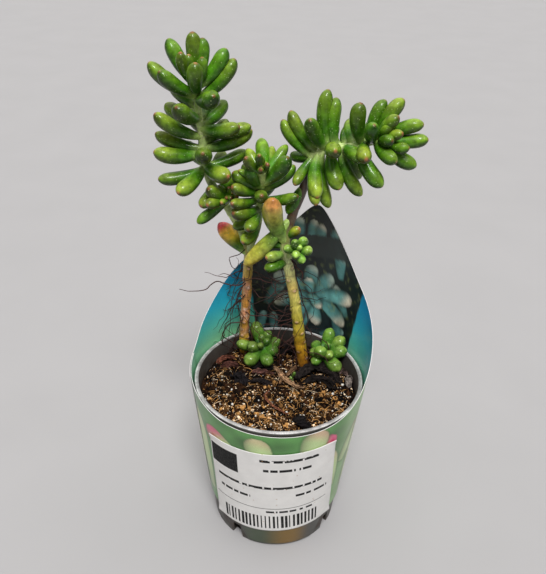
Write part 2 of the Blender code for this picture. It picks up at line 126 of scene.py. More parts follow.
# Seeds of the random draws
CRUMB_SEED = 31
BARK_SEED = 40
SHOOT_SEED = 100
ROSETTE_SEED = 200
FORK_SEED = 300
LEFT_BARK_SEED = 310
RIGHT_BARK_SEED = 320
ROOT_SEED = 400

LEFT_RADII = (2.6, 2.1)
RIGHT_RADII = (3.0, 1.9)
FORK_RADII = (1.7, 1.6)
TWIG_RADII = (1.4, 1.3)

# Each stem is a route (x, y, z), and its radii are those at its foot and at its tip
LEFT_STEM = ((-17, 26, 64), (-17.4, 27, 75), (-17.6, 27.3, 91), (-16.6, 27, 109), (-16, 26.5, 125),
             (-15.8, 26, 135), (-18, 25.5, 142))
RIGHT_STEM = ((13.4, 18.4, 64), (12.7, 18, 75), (10.3, 17, 88), (7.4, 16, 109), (3.8, 15, 128.5),
              (1, 14.5, 142), (1.5, 15, 149), (4, 17, 159), (7.5, 18.5, 169), (9.5, 19, 178))
LEFT_FORK = ((-15.9, 26, 134), (-14.8, 24, 138.4), (-13.6, 22.2, 142.3))
ROSETTE_FORK = ((1.8, 14.5, 138), (2.9, 12.8, 140), (4, 11.5, 141.6))
SIDE_FORK = ((-25.5, 23.2, 158), (-25.6, 21.6, 160.2), (-25.4, 20, 161.8))

SHOOTS = {
    "left_shoot": (
        ((-18.1, 25.5, 142.3), (-19.7, 25, 147), (-26, 23, 159), (-32.5, 21, 171), (-34.5, 20, 181),
         (-35, 19.5, 189), (-36, 19, 198), (-36.5, 18.5, 207), (-36.5, 18, 213)),
        (1.9, 1.4),
    ),
    "middle_shoot": (
        ((-13.5, 22, 142.6), (-12.4, 20.4, 146.5), (-11.3, 19.6, 152), (-10.8, 19, 158),
         (-10.5, 17.5, 165), (-10, 14.5, 173), (-9.5, 9, 181)),
        (1.6, 1.4),
    ),
    "side_shoot": (((-25.3, 19.6, 162.2), (-24.5, 18, 163.7), (-23.5, 16.3, 164.8)), (1.3, 1.2)),
    "right_shoot": (
        ((9.6, 19, 178.3), (11, 19, 184), (15, 18, 187), (19, 17, 189), (25, 16, 190), (30, 14, 192),
         (34.5, 13, 193.5), (38, 12, 194.5)),
        (1.7, 1.3),
    ),
    "stem_rosette": (((4.2, 11.2, 141.9), (5.4, 10, 143.4), (6.5, 9, 145)), (1.1, 1.0)),
    "left_rosette": (((-9, 24, 64), (-9, 24, 75), (-8.5, 21.5, 84)), (1.7, 1.4)),
    "right_rosette": (((22.5, 21, 64), (22.5, 21, 75), (21.7, 18.5, 84)), (1.7, 1.4)),
    "sprout": (((6.6, 5.2, 68), (6.6, 5.2, 74.5), (6.2, 5, 77.5)), (0.8, 0.7)),
}

# Leaves as (place along the stem, heading, rise, length, width)
LEAVES = {
    "left_stem": ((69, -110, 40, 20, 8.0),),
    "right_stem": (
        (83, -31, 66, 27, 9.0), (94, -75, -45, 30, 7.0), (85, 65, 45, 9, 4.5), (77, -55, 5, 11, 5.0),
        (73, -60, -5, 12, 5.5), (81, -105, 5, 9, 5.0), (82, -145, 5, 8, 4.0), (110, -72, -60, 15, 5.5),
    ),
    "left_shoot": (
        (75, -155, 80, 20, 6.5), (75, 150, 75, 18, 6.0), (75, -45, 75, 13, 4.5), (74, 50, 75, 13, 4.5),
        (74, -55, 65, 16, 5.0), (75, -120, 50, 21, 6.5), (74, 110, 50, 19, 6.5), (71, -60, 35, 19, 6.5),
        (71, 5, 60, 17, 6.5), (70, -90, 35, 23, 6.5), (69, 105, 45, 22, 6.5), (69, 30, 20, 17, 7.5),
        (61, -30, 30, 17, 7.5), (60, -125, 10, 19, 6.5), (58, 140, 25, 17, 6.5), (57, 70, 10, 18, 6.5),
        (56, 95, 5, 21, 6.5), (53, -75, 30, 22, 6.5), (48, 100, 20, 22, 6.5), (48, -95, 15, 21, 6.0),
        (46, 5, 20, 16, 7.0), (46, -75, 5, 21, 7.0), (41, 40, 0, 17, 7.5), (40, -35, -20, 19, 7.0),
        (40, 110, 15, 19, 6.0), (39, -75, -10, 21, 6.0), (30, -25, -30, 12, 5.5), (28, 85, 30, 12, 4.5),
    ),
    "middle_shoot": (
        (41, -15, 60, 11, 3.5), (41, -175, 30, 18, 6.0), (40, 165, 25, 16, 4.5), (39, 140, 30, 18, 4.5),
        (38, -55, 50, 13, 4.5), (37, -145, 35, 15, 5.0), (35, -95, 20, 11, 3.0), (34, 15, 65, 11, 4.0),
        (32, 60, 50, 19, 7.0), (30, -87, 29, 14, 6.0), (30, -35, 55, 14, 6.0), (28, 105, 35, 18, 5.5),
        (27, -60, 20, 15, 5.5), (25, 5, 25, 9, 6.0), (23, 70, 15, 18, 5.0), (23, -45, 10, 17, 5.0),
        (18, -45, 10, 16, 6.5), (17, -20, -15, 14, 6.0), (14, -75, -20, 13, 5.0), (9, -35, -20, 12, 6.0),
    ),
    "side_shoot": (
        (5, -55, 35, 13, 6.0), (5, -75, 50, 8, 4.5), (5, -105, 85, 6, 2.5), (5, -20, 30, 5, 2.0),
        (5, -45, 5, 13, 5.0), (5, -25, 10, 8, 3.0), (5, -75, -35, 18, 5.0), (5, 70, 65, 4, 1.5),
    ),
    "right_shoot": (
        (36, 45, 30, 12, 4.5), (36, 85, 25, 18, 6.0), (36, 85, 5, 19, 6.0), (36, 25, 55, 11, 4.5),
        (36, 55, 0, 13, 5.0), (36, 15, 20, 12, 5.0), (35, 45, 55, 15, 5.5), (35, 110, 60, 19, 6.5),
        (36, 75, -30, 18, 6.5), (34, 30, -15, 15, 6.0), (33, -10, 45, 15, 6.0), (31, 130, 65, 18, 6.0),
        (30, -5, -5, 15, 6.5), (28, -40, 80, 18, 7.0), (27, 45, -45, 20, 7.0), (21, 165, 15, 16, 6.0),
        (21, 25, 0, 15, 6.0), (21, 110, -60, 17, 6.0), (19, 50, -55, 22, 6.0), (17, -5, 15, 15, 7.0),
        (17, -175, 75, 20, 6.5), (15, 20, -50, 18, 7.0), (14, -160, 80, 24, 6.5), (13, -50, 55, 18, 6.5),
        (11, 30, -70, 24, 6.0), (9, 0, -45, 20, 6.5), (9, -115, 50, 21, 6.0), (7, -135, -15, 14, 5.0),
        (6, -110, 45, 20, 5.5), (7, 5, -48, 22, 5.5), (7, -40, -38, 16, 4.5),
    ),
    "stem_rosette": (
        (5, -70, 15, 7, 4.0), (5, -25, 60, 7, 4.0), (5, 75, 60, 7, 4.5), (5, 60, 15, 7, 4.5),
        (5, -10, 0, 6, 4.0), (5, 25, -30, 7, 4.0), (5, 20, 45, 5, 3.0),
    ),
    "left_rosette": (
        (19, -150, 50, 13, 6.5), (18, -85, 15, 13, 5.5), (19, -50, 25, 9, 6.0), (19, 140, 45, 9, 5.5),
        (19, 100, 20, 10, 5.5), (19, 65, 0, 9, 6.0), (19, -35, -15, 13, 7.0), (19, 20, -15, 12, 6.5),
        (20, -175, 80, 6, 3.5), (20, 60, 55, 6, 3.5), (20, -10, 35, 6, 3.5),
    ),
    "right_rosette": (
        (20, 150, 50, 12, 6.0), (19, 110, 30, 13, 6.5), (19, -60, 20, 8, 5.0), (19, -20, 40, 9, 6.5),
        (20, 60, 60, 6, 3.5), (19, 80, 14, 12, 6.5), (20, 30, 15, 8, 5.0), (19, 40, -18, 13, 7.0),
        (19, -40, -15, 9, 5.0), (19, -150, 5, 9, 5.5),
    ),
    "sprout": ((9, 45, 68, 5.2, 1.8), (7, -70, 25, 3, 2.4), (8, -20, 55, 3, 1.4)),
}

# The far side, which the photo hides: count, first and last place, middle heading, half spread
FAR_SIDE = {
    "left_shoot": (8, 30, 66, 185, 50),
    "middle_shoot": (4, 18, 34, 180, 45),
    "right_shoot": (5, 8, 30, 180, 30),
}
FAR_LENGTH = 17.0
FAR_WIDTH = 6.0
FAR_RISE = 20
GOLDEN = 0.618

# How many buds each tip has, and their lengths
BUDS = {
    "left_shoot": 4, "middle_shoot": 4, "side_shoot": 2, "right_shoot": 4,
    "stem_rosette": 2, "left_rosette": 2, "right_rosette": 2, "sprout": 0,
}
BUD_LENGTH = 6.5
YOUNG_BUD_LENGTH = 3.2

# Colours of wear, dirt, scars and print, besides those that the settings hold
SCUFF_GREEN = "#93a866"
PORE_GREEN = "#c3d590"
DIRT_BROWN = "#b08a62"
SCAR_CREAM = "#c9c79a"
SCAR_BROWN = "#5a3018"
PAPERY_PINK = "#f2d6bc"
YOUNG_BASE = "#7fae84"
PRINT_GREY_GREEN = "#6f8f6c"
PRINT_LIGHT_GREEN = "#a5c78c"
PRINT_FOOT_GREEN = "#3d4a34"
PRINT_FOOT_OCHRE = "#7a5c1c"
PRINT_FOOT_GREY = "#3c3a34"
PRINT_CREAM = "#d2c8b4"
PRINT_MOSS = "#8f9a5c"

# How bright the green of each young piece is
YOUNG_LEVELS = {"stem_rosette": 1.25, "left_rosette": 0.66, "right_rosette": 0.9, "sprout": 0.7}

# How yellow, red and pale the first leaves of each woody stem are, from 0 to 1, and how far they
# swing sideways, as a share of their length
HABITS = {
    "left_stem": ({"yellow": 0.95, "red": 1.0},),
    "right_stem": (
        {"yellow": 0.34, "red": 0.34, "swing": 0.08, "pale": 0.3},
        {"yellow": 0.26, "red": 0.08, "pale": 0.2}, {"yellow": 0.12}, {"pale": 0.3},
    ),
}

# Knots of the woody stems, where leaves have dropped: (place along the stem, heading)
LEFT_KNOTS = ((21, 60), (23, -20), (31, -5), (39, 70), (45, -60), (51, 25), (56, -55), (62, 10))
RIGHT_KNOTS = (
    (17, 45), (22, -30), (27, 60), (31, -75), (33, 35), (40, -10), (47, -70), (51, 60), (58, 20),
    (64, -25), (70, 50),
)

# Aerial roots that the photo shows, as routes, each with its diameter
ROOTS = (
    (((-17, 25, 119), (-19, 21, 119), (-23, 20, 119), (-27, 20, 120), (-30, 20, 121), (-33, 20, 119),
      (-36, 20, 116), (-43, 20, 115), (-48, 20, 116)), 0.63),
    (((-17, 25, 136), (-20, 21, 135), (-24, 20, 134), (-24, 20, 132), (-23, 20, 129), (-21, 20, 128),
      (-20, 20, 132), (-21, 20, 134)), 0.45),
    (((-17, 25, 111), (-19, 22, 110), (-22, 22, 107), (-24, 22, 104), (-26, 22, 99), (-28, 22, 95),
      (-30, 22, 90)), 0.54),
    (((-17, 24, 118), (-19, 20, 117), (-21, 20, 111), (-20, 20, 106), (-18, 20, 102), (-15, 20, 98)), 0.60),
    (((-18, 26, 98), (-19, 22, 97), (-24, 22, 96), (-27, 22, 92), (-28, 22, 88), (-24, 22, 85),
      (-20, 22, 80), (-18, 21, 75)), 0.60),
    (((-27, 21, 90), (-28, 20, 85), (-23, 20, 81), (-22, 19, 75)), 0.42),
    (((-16, 25, 108), (-13, 20, 109), (-9, 20, 111), (-6, 20, 112), (-1, 20, 113), (3, 18, 117),
      (5, 16, 119)), 0.45),
    (((5, 17, 117), (0, 20, 114), (-4, 20, 110), (-6, 20, 107), (-5, 20, 105), (-2, 20, 101), (-3, 20, 95),
      (-4, 21, 86), (-3, 21, 76)), 0.51),
    (((3, 14, 138), (6, 12, 136), (6, 12, 132), (7, 12, 127), (9, 12, 121), (10, 12, 116), (12, 12, 111),
      (13, 12, 105), (12, 12, 100), (13, 14, 92), (15, 15, 76)), 0.60),
    (((4, 13, 137), (7, 10, 135), (9, 10, 133), (9, 10, 130), (8, 10, 128)), 0.51),
    (((10, 16, 101), (12, 16, 100), (16, 16, 95), (21, 16, 92), (24, 16, 88), (25, 15, 76)), 0.51),
    (((0, 15, 140), (-1, 16, 138), (-1, 16, 135), (0, 16, 130), (1, 16, 125)), 0.66),
    (((-17, 25, 101), (-14, 22, 101), (-9, 22, 101), (-4, 22, 102), (3, 19, 103), (8, 16, 104)), 0.48),
)

# Old bark and dry leaves on the soil: route, width, thickness, colour
BARK = (
    (((-13, 10, 75.4), (-8, 9.6, 76.2), (-2, 9, 75.2)), 2.6, 1.2, "#6e4a42"),
    (((-2, 15, 75.5), (0, 10, 76.8), (2.5, 6, 76.2), (5.5, 1.5, 76.8), (9.5, -1, 76.0), (13, 0, 75.4)),
     2.4, 1.1, "#b08a68"),
    (((1, 12, 75.3), (1.5, 7, 76.0), (0.5, 2, 75.2)), 1.1, 0.7, "#a07a58"),
    (((4, 9, 75.2), (7, 12, 76.4), (9, 16, 75.4)), 1.8, 0.9, "#8c6a4e"),
    (((9, 6, 75.0), (14, 11.5, 77.2), (20, 13.5, 77.6), (25, 10.5, 76.8), (30, 4, 75.0)),
     4.2, 2.0, "#2a2422"),
    (((12, 3, 75.0), (17, 6.5, 75.9), (23, 6, 75.8), (28, 1, 74.9)), 3.4, 1.4, "#241e1c"),
    (((-21, 9, 75.2), (-18, 5, 76.4), (-15, 0, 75.1)), 4.6, 2.2, "#262224"),
    (((-13, 3.5, 75.2), (-8, 3, 76.2), (-3, 1, 75.1)), 3.6, 1.5, "#302a2a"),
    (((-14, 13, 75.5), (-8, 14, 76.8), (-3, 12.5, 75.4)), 3.2, 1.6, "#1f1b1a"),
    (((-31, 17, 75.2), (-27, 20, 76.4), (-22, 21, 75.4)), 2.2, 1.0, "#7a4a3a"),
    (((-28, 13, 75.0), (-24, 15, 76.0), (-20, 14, 75.0)), 2.6, 1.2, "#5a3830"),
    (((33, 8, 75.0), (34, 5, 76.0), (33.5, 1, 75.0)), 2.6, 1.0, "#8c8078"),
    (((27, 12, 75.4), (31, 14, 76.2), (33, 11, 75.2)), 2.2, 0.9, "#5c4a44"),
    (((9, -25, 74.0), (12, -27, 75.2), (15, -27, 74.2)), 3.0, 1.9, "#1e1a1c"),
    (((7, -21, 74.2), (10, -22, 75.0), (13, -20, 74.2)), 2.6, 1.6, "#221e1e"),
    (((-4, -2, 74.9), (-6, -7, 75.2), (-3, -12, 75.0), (1, -16, 74.8), (5, -18, 74.4)), 0.9, 0.6, "#8e5a42"),
    (((0, 25, 75.6), (4, 27, 76.6), (9, 26, 75.6)), 3.4, 1.6, "#231d1c"),
    (((-3, 30, 75.6), (2, 32, 76.2), (8, 31, 75.6)), 2.8, 1.4, "#2c2423"),
)

# The larger perlite grains: (x, y, width)
PERLITE = (
    (-24, -6, 1.5), (-21, -13, 2.3), (-14, -18, 1.7), (-10, -20, 1.8), (-11, -26, 2.0), (0, -7, 1.4),
    (16, -5, 1.4), (26, -3, 1.5), (-7, -17, 1.3), (31, 3, 1.6), (-17, 8, 1.3), (-27, 3, 1.4),
    (-22, -3, 1.8), (-9, -10, 1.5), (4, -15, 1.4), (19, -14, 1.5), (25, -16, 1.3), (-3, -25, 1.4),
    (12, -18, 1.2), (30, -10, 1.3),
)


def linear(code):
    """The linear colour of an sRGB hex value."""
    values = [int(code[i:i + 2], 16) / 255 for i in (1, 3, 5)]
    return tuple(v / 12.92 if v <= 0.04045 else ((v + 0.055) / 1.055) ** 2.4 for v in values)


def size(name, description, millimetres):
    """A length that a user may change."""
    return bpy.props.FloatProperty(
        name=name, description=description, default=millimetres * MM, min=0.0, precision=5,
        unit="LENGTH", subtype="DISTANCE",
    )


def shade(name, description, code):
    """A colour that a user may change."""
    return bpy.props.FloatVectorProperty(
        name=name, description=description, default=linear(code), min=0.0, max=1.0, size=3,
        subtype="COLOR",
    )


def count(name, description, number):
    """A number of like things that a user may change."""
    return bpy.props.IntProperty(name=name, description=description, default=number, min=0)


class PotSettings(bpy.types.PropertyGroup):
    lip_round: size("Lip rounding", "Radius of the rolled lip's edges", 0.55)
    plastic: shade("Plastic", "Moulded polypropylene of the pot", "#4a4743")
    # The lip colour is a painted highlight on the lip's top face, mottled like wear
    lip: shade("Lip", "Rubbed plastic of the lip", "#d0cecc")
    foot: shade("Foot", "Greenish grey of the pot's foot", "#3f423c")
    dust: shade("Dust", "Peat dust on the inner wall", "#3a2c22")


class SoilSettings(bpy.types.PropertyGroup):
    crumbs: count("Crumbs", "Loose crumbs on the soil", 7600)
    fibres: count("Fibres", "Coir and root fibres on the soil", 1100)
    grains: count("Small perlite", "Small perlite grains besides the larger ones", 260)
    peat: shade("Peat", "Damp peat between the crumbs", "#080504")
    crumb: shade("Crumb", "Brown crumbs", "#402613")
    coir: shade("Coir", "Golden coir fibres", "#bc8a50")
    straw: shade("Straw", "Palest dry fibres", "#fae2c0")
    perlite: shade("Perlite", "White perlite", "#f2efe8")


class WrapSettings(bpy.types.PropertyGroup):
    thickness: size("Thickness", "Thickness of the printed sheet", 0.3)
    lap: size("Lap", "How far the sheet's end stands off where it laps over itself", 0.5)
    meadow: shade("Meadow green", "Ground of the outer print", "#568f48")
    leaf: shade("Printed leaf", "Pale green of the printed leaves", "#b9cf92")
    blush: shade("Blush", "Pink ends of the printed leaves", "#d2527a")
    slate: shade("Slate", "Dark ground of the inner picture", "#182224")
    band: shade("Band", "Plain band across the inner picture", "#2e3836")
    frost: shade("Frosted leaf", "Blue-green of the inner picture's leaves", "#5f9896")
    navy: shade("Navy", "Top of the inner ground", "#0c5478")
    azure: shade("Azure", "Upper middle of the inner ground", "#1794c4")
    cyan: shade("Cyan", "Middle of the inner ground", "#2fb8d0")
    teal: shade("Teal", "Lower middle of the inner ground", "#56c4b8")
    mint: shade("Mint", "Foot of the inner ground", "#84ce9c")
    edge: shade("Cut edge", "White of the cut edge", "#e4e0de")


class LabelSettings(bpy.types.PropertyGroup):
    width: size("Width", "Width of the label along the pot", 62.0)
    height: size("Height", "Height of the label up the pot", 56.6)
    thickness: size("Thickness", "Thickness of the label paper", 0.18)
    paper: shade("Paper", "Uncoated white paper", "#eae8e5")
    ink: shade("Ink", "Black print", "#08090a")


class StemSettings(bpy.types.PropertyGroup):
    knot: size("Knots", "Height of the knots where leaves have dropped", 0.5)
    rust: shade("Rust bark", "Orange-pink patches of the left stem", "#e09c78")
    scar: shade("Scars", "Pale pink scars of dropped leaves", "#d9ab94")
    root: shade("Roots", "Red-brown aerial roots", "#3c1a12")
    hairs: count("Fine roots", "Fine aerial roots besides the longer ones", 95)


class LeafSettings(bpy.types.PropertyGroup):
    body: shade("Leaf", "Body of a grown leaf", "#40780a")
    # Painted shade: leaf_colours lays the underside colour where a grown leaf faces down
    deep: shade("Underside", "Underside of a grown leaf", "#143406")
    # Partly the leaf's own yellow-green end, partly painted light: laid mostly where a leaf faces up
    sun: shade("Sunny end", "Yellow-green end of a grown leaf", "#98ae3a")
    base: shade("Leaf base", "Pale base of a leaf", "#a0b664")
    tip: shade("Tip", "Red-brown point of a leaf", "#a45c44")
    ochre: shade("Ochre flush", "Yellow of an old leaf", "#dcac3c")
    red: shade("Red flush", "Red end of an old leaf", "#dc4650")
    young: shade("Young leaf", "Body of a young leaf", "#4a7e24")
    # Painted shade: leaf_colours lays the young underside colour where a young leaf faces down
    young_shaded_underside: shade("Young underside", "Underside of a young leaf", "#184414")
    # Partly the young leaf's own bright end, partly painted light: laid mostly where it faces up
    young_lit_end: shade("Young end", "Bright end of a young leaf", "#97b654")
    stalk: shade("Green stem", "Skin of the green stems", "#b9cb80")


class StudioSettings(bpy.types.PropertyGroup):
    lens: bpy.props.FloatProperty(name="Lens", description="Focal length", default=43.9, unit="CAMERA")
    camera: bpy.props.FloatVectorProperty(
        name="Camera", description="Place of the camera", default=(-0.0039, -0.2594, 0.2913),
        size=3, subtype="TRANSLATION", unit="LENGTH",
    )
    pitch: bpy.props.FloatProperty(
        name="Pitch", description="How far the camera looks down", default=math.radians(31.7),
        unit="ROTATION", subtype="ANGLE",
    )
    roll: bpy.props.FloatProperty(
        name="Roll", description="How far the camera leans", default=math.radians(1.73),
        unit="ROTATION", subtype="ANGLE",
    )
    floor: shade("Floor", "Matt paper sweep", "#a9a7a7")


SETTINGS = {
    "sedum_pot": PotSettings,
    "sedum_soil": SoilSettings,
    "sedum_wrap": WrapSettings,
    "sedum_label": LabelSettings,
    "sedum_stem": StemSettings,
    "sedum_leaf": LeafSettings,
    "sedum_studio": StudioSettings,
}


def unit(vectors):
    """Vectors cut to length 1."""
    return vectors / np.linalg.norm(vectors, axis=-1, keepdims=True)


def compass(heading, rise=0.0):
    """Unit vectors of headings and rises, in degrees."""
    turn, lift = np.radians(heading), np.radians(rise)
    flat = np.cos(lift)
    return np.stack((np.sin(turn) * flat, -np.cos(turn) * flat, np.sin(lift) + 0 * turn), -1)


def mix(a, b, share):
    """Colours blended from a to b by an array of shares."""
    share = np.clip(share, 0, 1)[..., None]
    return np.asarray(a) * (1 - share) + np.asarray(b) * share


def ramp(value, low, high):
    """0 up to low, 1 from high on, and a cubic step between them."""
    share = np.clip((value - low) / (high - low), 0, 1)
    return share * share * (3 - 2 * share)


def bell(value, width):
    """A bell curve: 1 at 0, falling to 1/e at the width."""
    return np.exp(-((value / width) ** 2))


def relief(x, y, lump, seed):
    """Lumps of about one size, from -1 to 1: random heights on a square lattice, with a cubic
    step from one lattice point to the next."""
    heights = np.random.default_rng(seed).uniform(-1, 1, (LATTICE, LATTICE))
    u, v = np.broadcast_arrays(x / lump, y / lump)
    i, j = np.floor(u).astype(int), np.floor(v).astype(int)
    p, q = ramp(u - i, 0, 1), ramp(v - j, 0, 1)
    i, j, k, m = i % LATTICE, j % LATTICE, (i + 1) % LATTICE, (j + 1) % LATTICE
    near = heights[i, j] * (1 - p) + heights[k, j] * p
    far = heights[i, m] * (1 - p) + heights[k, m] * p
    return near * (1 - q) + far * q


def curve(points):
    """Close points of a Catmull-Rom curve through the given ones, and the distance along to each."""
    points = np.array(points, float)
    ends = np.vstack((2 * points[0] - points[1], points, 2 * points[-1] - points[-2]))
    share = np.linspace(0, 1, CURVE_STEPS, endpoint=False)[:, None]
    runs = []
    for a, b, c, d in zip(ends, ends[1:], ends[2:], ends[3:]):
        bend = 2 * a - 5 * b + 4 * c - d + share * (3 * (b - c) + d - a)
        runs.append(b + 0.5 * share * (c - a + share * bend))
    fine = np.vstack(runs + [points[-1:]])
    steps = np.linalg.norm(np.diff(fine, axis=0), axis=1)
    return fine, np.concatenate(([0], np.cumsum(steps)))


def read_off(values, stops, rows):
    """Rows of three numbers, read off at values along straight lines from stop to stop."""
    rows = np.asarray(rows)
    return np.stack([np.interp(values, stops, rows[:, axis]) for axis in range(3)], -1)


def through(points, places):
    """Points of the curve through the given ones, at distances along it."""
    fine, along = curve(points)
    return read_off(places, along, fine)


def length_of(points):
    """The length of the curve through the points."""
    return curve(points)[1][-1]


def rings_round(centres, across, sides):
    """Unit vectors out from a route, a ring for each centre: cos(t) * side + sin(t) * top, where
    side is square to the route and to the across vector, and top is square to both."""
    ways = np.gradient(centres, axis=0)
    side = unit(np.cross(ways, across))
    top = unit(np.cross(ways, side))
    turns = np.arange(sides) * 2 * math.pi / sides
    return np.cos(turns)[:, None] * side[:, None] + np.sin(turns)[:, None] * top[:, None], turns


def tube_faces(rings, sides):
    """Quads between rings, and triangles from the end rings to the foot's and the tip's pole."""
    i = np.arange(rings - 1)[:, None] * sides
    j = np.arange(sides)
    k = (j + 1) % sides
    quads = np.stack((i + j, i + k, i + sides + k, i + sides + j), -1).reshape(-1, 4)
    last = (rings - 1) * sides
    poles = np.full(sides, rings * sides)
    return quads, np.vstack((np.stack((k, j, poles), -1), np.stack((last + j, last + k, poles + 1), -1)))


def tube(grid, foot, tip, colours, tip_colour=None):
    """A closed part from a grid of rings (ring, side, xyz) and its two poles."""
    quads, triangles = tube_faces(*grid.shape[:2])
    vertices = np.vstack((grid.reshape(-1, 3), foot, tip))
    tip_colour = colours[-1, 0] if tip_colour is None else tip_colour
    return vertices, quads, triangles, np.vstack((colours.reshape(-1, 3), colours[0, 0], tip_colour))


def sheet(inner, outer, inner_colours, outer_colours):
    """A closed sheet from its inner and its outer grid (column, row, xyz). Each column is a loop:
    up the inner face and down the outer one."""
    columns, rows = inner.shape[:2]
    loops = np.concatenate((inner, outer[:, ::-1]), axis=1)
    colours = np.concatenate((inner_colours, outer_colours[:, ::-1]), axis=1)
    around = 2 * rows
    a = np.arange(columns - 1)[:, None] * around + np.arange(around)
    b = np.arange(columns - 1)[:, None] * around + (np.arange(around) + 1) % around
    quads = np.stack((a, b, b + around, a + around), -1).reshape(-1, 4)
    r = np.arange(rows - 1)
    start = np.stack((r, around - 1 - r, around - 2 - r, r + 1), -1)
    end = np.stack((r, r + 1, around - 2 - r, around - 1 - r), -1) + (columns - 1) * around
    none = np.zeros((0, 3), int)
    return loops.reshape(-1, 3), np.vstack((quads, start, end)), none, colours.reshape(-1, 3)


def assemble(name, parts, material, nodes=(), uv=None, smooth=True):
    """One piece from parts of (vertices in mm, quads, triangles, colours), with its material, which
    rides on the object's body and stands for the solids it replaces."""
    offsets = np.cumsum([0] + [len(part[0]) for part in parts])
    vertices = np.vstack([part[0] for part in parts]) * MM
    quads = np.vstack([part[1] + offset for part, offset in zip(parts, offsets)])
    triangles = np.vstack([part[2] + offset for part, offset in zip(parts, offsets)])
    colours = np.vstack([part[3] for part in parts])
    corners = np.concatenate((quads.ravel(), triangles.ravel())).astype(np.int32)
    starts = np.concatenate((np.arange(len(quads)) * 4, len(quads) * 4 + np.arange(len(triangles)) * 3))
    mesh = bpy.data.meshes.new(name)
    mesh.vertices.add(len(vertices))
    mesh.vertices.foreach_set("co", vertices.ravel())
    mesh.loops.add(len(corners))
    mesh.loops.foreach_set("vertex_index", corners)
    mesh.polygons.add(len(starts))
    mesh.polygons.foreach_set("loop_start", starts.astype(np.int32))
    mesh.update(calc_edges=True)
    if mesh.validate():
        raise RuntimeError(f"the mesh of {name} had faults")
    tint = mesh.color_attributes.new("tint", "FLOAT_COLOR", "POINT")
    tint.data.foreach_set("color", np.hstack((colours, np.ones((len(colours), 1)))).ravel())
    if uv is not None:
        layer = mesh.uv_layers.new(name="UVMap")
        layer.data.foreach_set("uv", uv[corners].ravel())
    if smooth:
        mesh.shade_smooth()
    mesh.materials.append(material)
    piece = bpy.data.objects.new(name, mesh)
    bpy.context.scene.collection.objects.link(piece)
    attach(piece, BODY)
    if nodes:
        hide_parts(*nodes)
    return piece


def add(tree, kind, inputs=None, **settings):
    """Adds a shader node with its settings. Inputs, by name or number, are values, or other nodes'
    sockets to link."""
    node = tree.nodes.new("ShaderNode" + kind)
    for key, value in settings.items():
        setattr(node, key, value)
    for key, value in (inputs or {}).items():
        socket = node.inputs[key]
        if isinstance(value, bpy.types.NodeSocket):
            tree.links.new(value, socket)
        elif socket.type == "RGBA" and len(value) == 3:
            socket.default_value = (*value, 1)
        else:
            socket.default_value = value
    return node


def new_material(name, **constants):
    """A Principled material with constants on its own sockets. Returns it, its tree, its shader
    and the piece's own coordinates."""
    material = bpy.data.materials.new(name)
    material.use_nodes = True
    tree = material.node_tree
    shader = tree.nodes["Principled BSDF"]
    for key, value in constants.items():
        shader.inputs[key.replace("_", " ")].default_value = value
    return material, tree, shader, add(tree, "TexCoord").outputs["Object"]


# Sizes of the patterns on each surface, in millimetres
LEAF_CLOUD, LEAF_SCUFF, LEAF_PORE = 2.4, 0.9, 1.1
BARK_CRACK, ROOT_CLOUD = 0.7, 1.5
PEAT_GRIT, PERLITE_PIT = 0.55, 0.45
PLASTIC_CLOUD, PLASTIC_GRAIN = 5.0, 0.6
CARD_GRAIN, CARD_WAVE = 0.35, 9.0
PAPER_PULP, PAPER_GRAIN, PAPER_SPECK = 6.0, 0.8, 4.5
SWEEP_CLOUD = 60.0

# Where most of a noise pattern's values lie
NOISE_REACH = (0.3, 0.7)

# Heights on the pot, in millimetres: where the foot's tint ends, and where the dust thins out
FOOT_TINT = (4, 30)
DUST_LINE = (73, 80)


def lumps(millimetres):
    """A texture's scale, from the size of its lumps."""
    return 1 / (millimetres * MM)


def uneven(tree, colour, pattern, dark, light, reach=NOISE_REACH):
    """A colour whose brightness goes from dark to light as a pattern goes through its reach."""
    level = add(tree, "MapRange", {0: pattern, 1: reach[0], 2: reach[1], 3: dark, 4: light}).outputs[0]
    return add(tree, "VectorMath", {0: colour, "Scale": level}, operation="SCALE").outputs[0]


def dress(tree, shader, colour, rough=None, height=None, bump_mm=0.0):
    """Gives a surface its colour, its roughness as (pattern, where that is low, where it is high),
    and a relief of so many millimetres that follows a height pattern."""
    tree.links.new(colour, shader.inputs["Base Color"])
    if rough is not None:
        pattern, smooth, dull = rough
        low, high = NOISE_REACH
        value = add(tree, "MapRange", {0: pattern, 1: low, 2: high, 3: smooth, 4: dull}).outputs[0]
        tree.links.new(value, shader.inputs["Roughness"])
    if height is not None:
        bump = add(tree, "Bump", {"Height": height, "Distance": bump_mm * MM}).outputs[0]
        tree.links.new(bump, shader.inputs["Normal"])


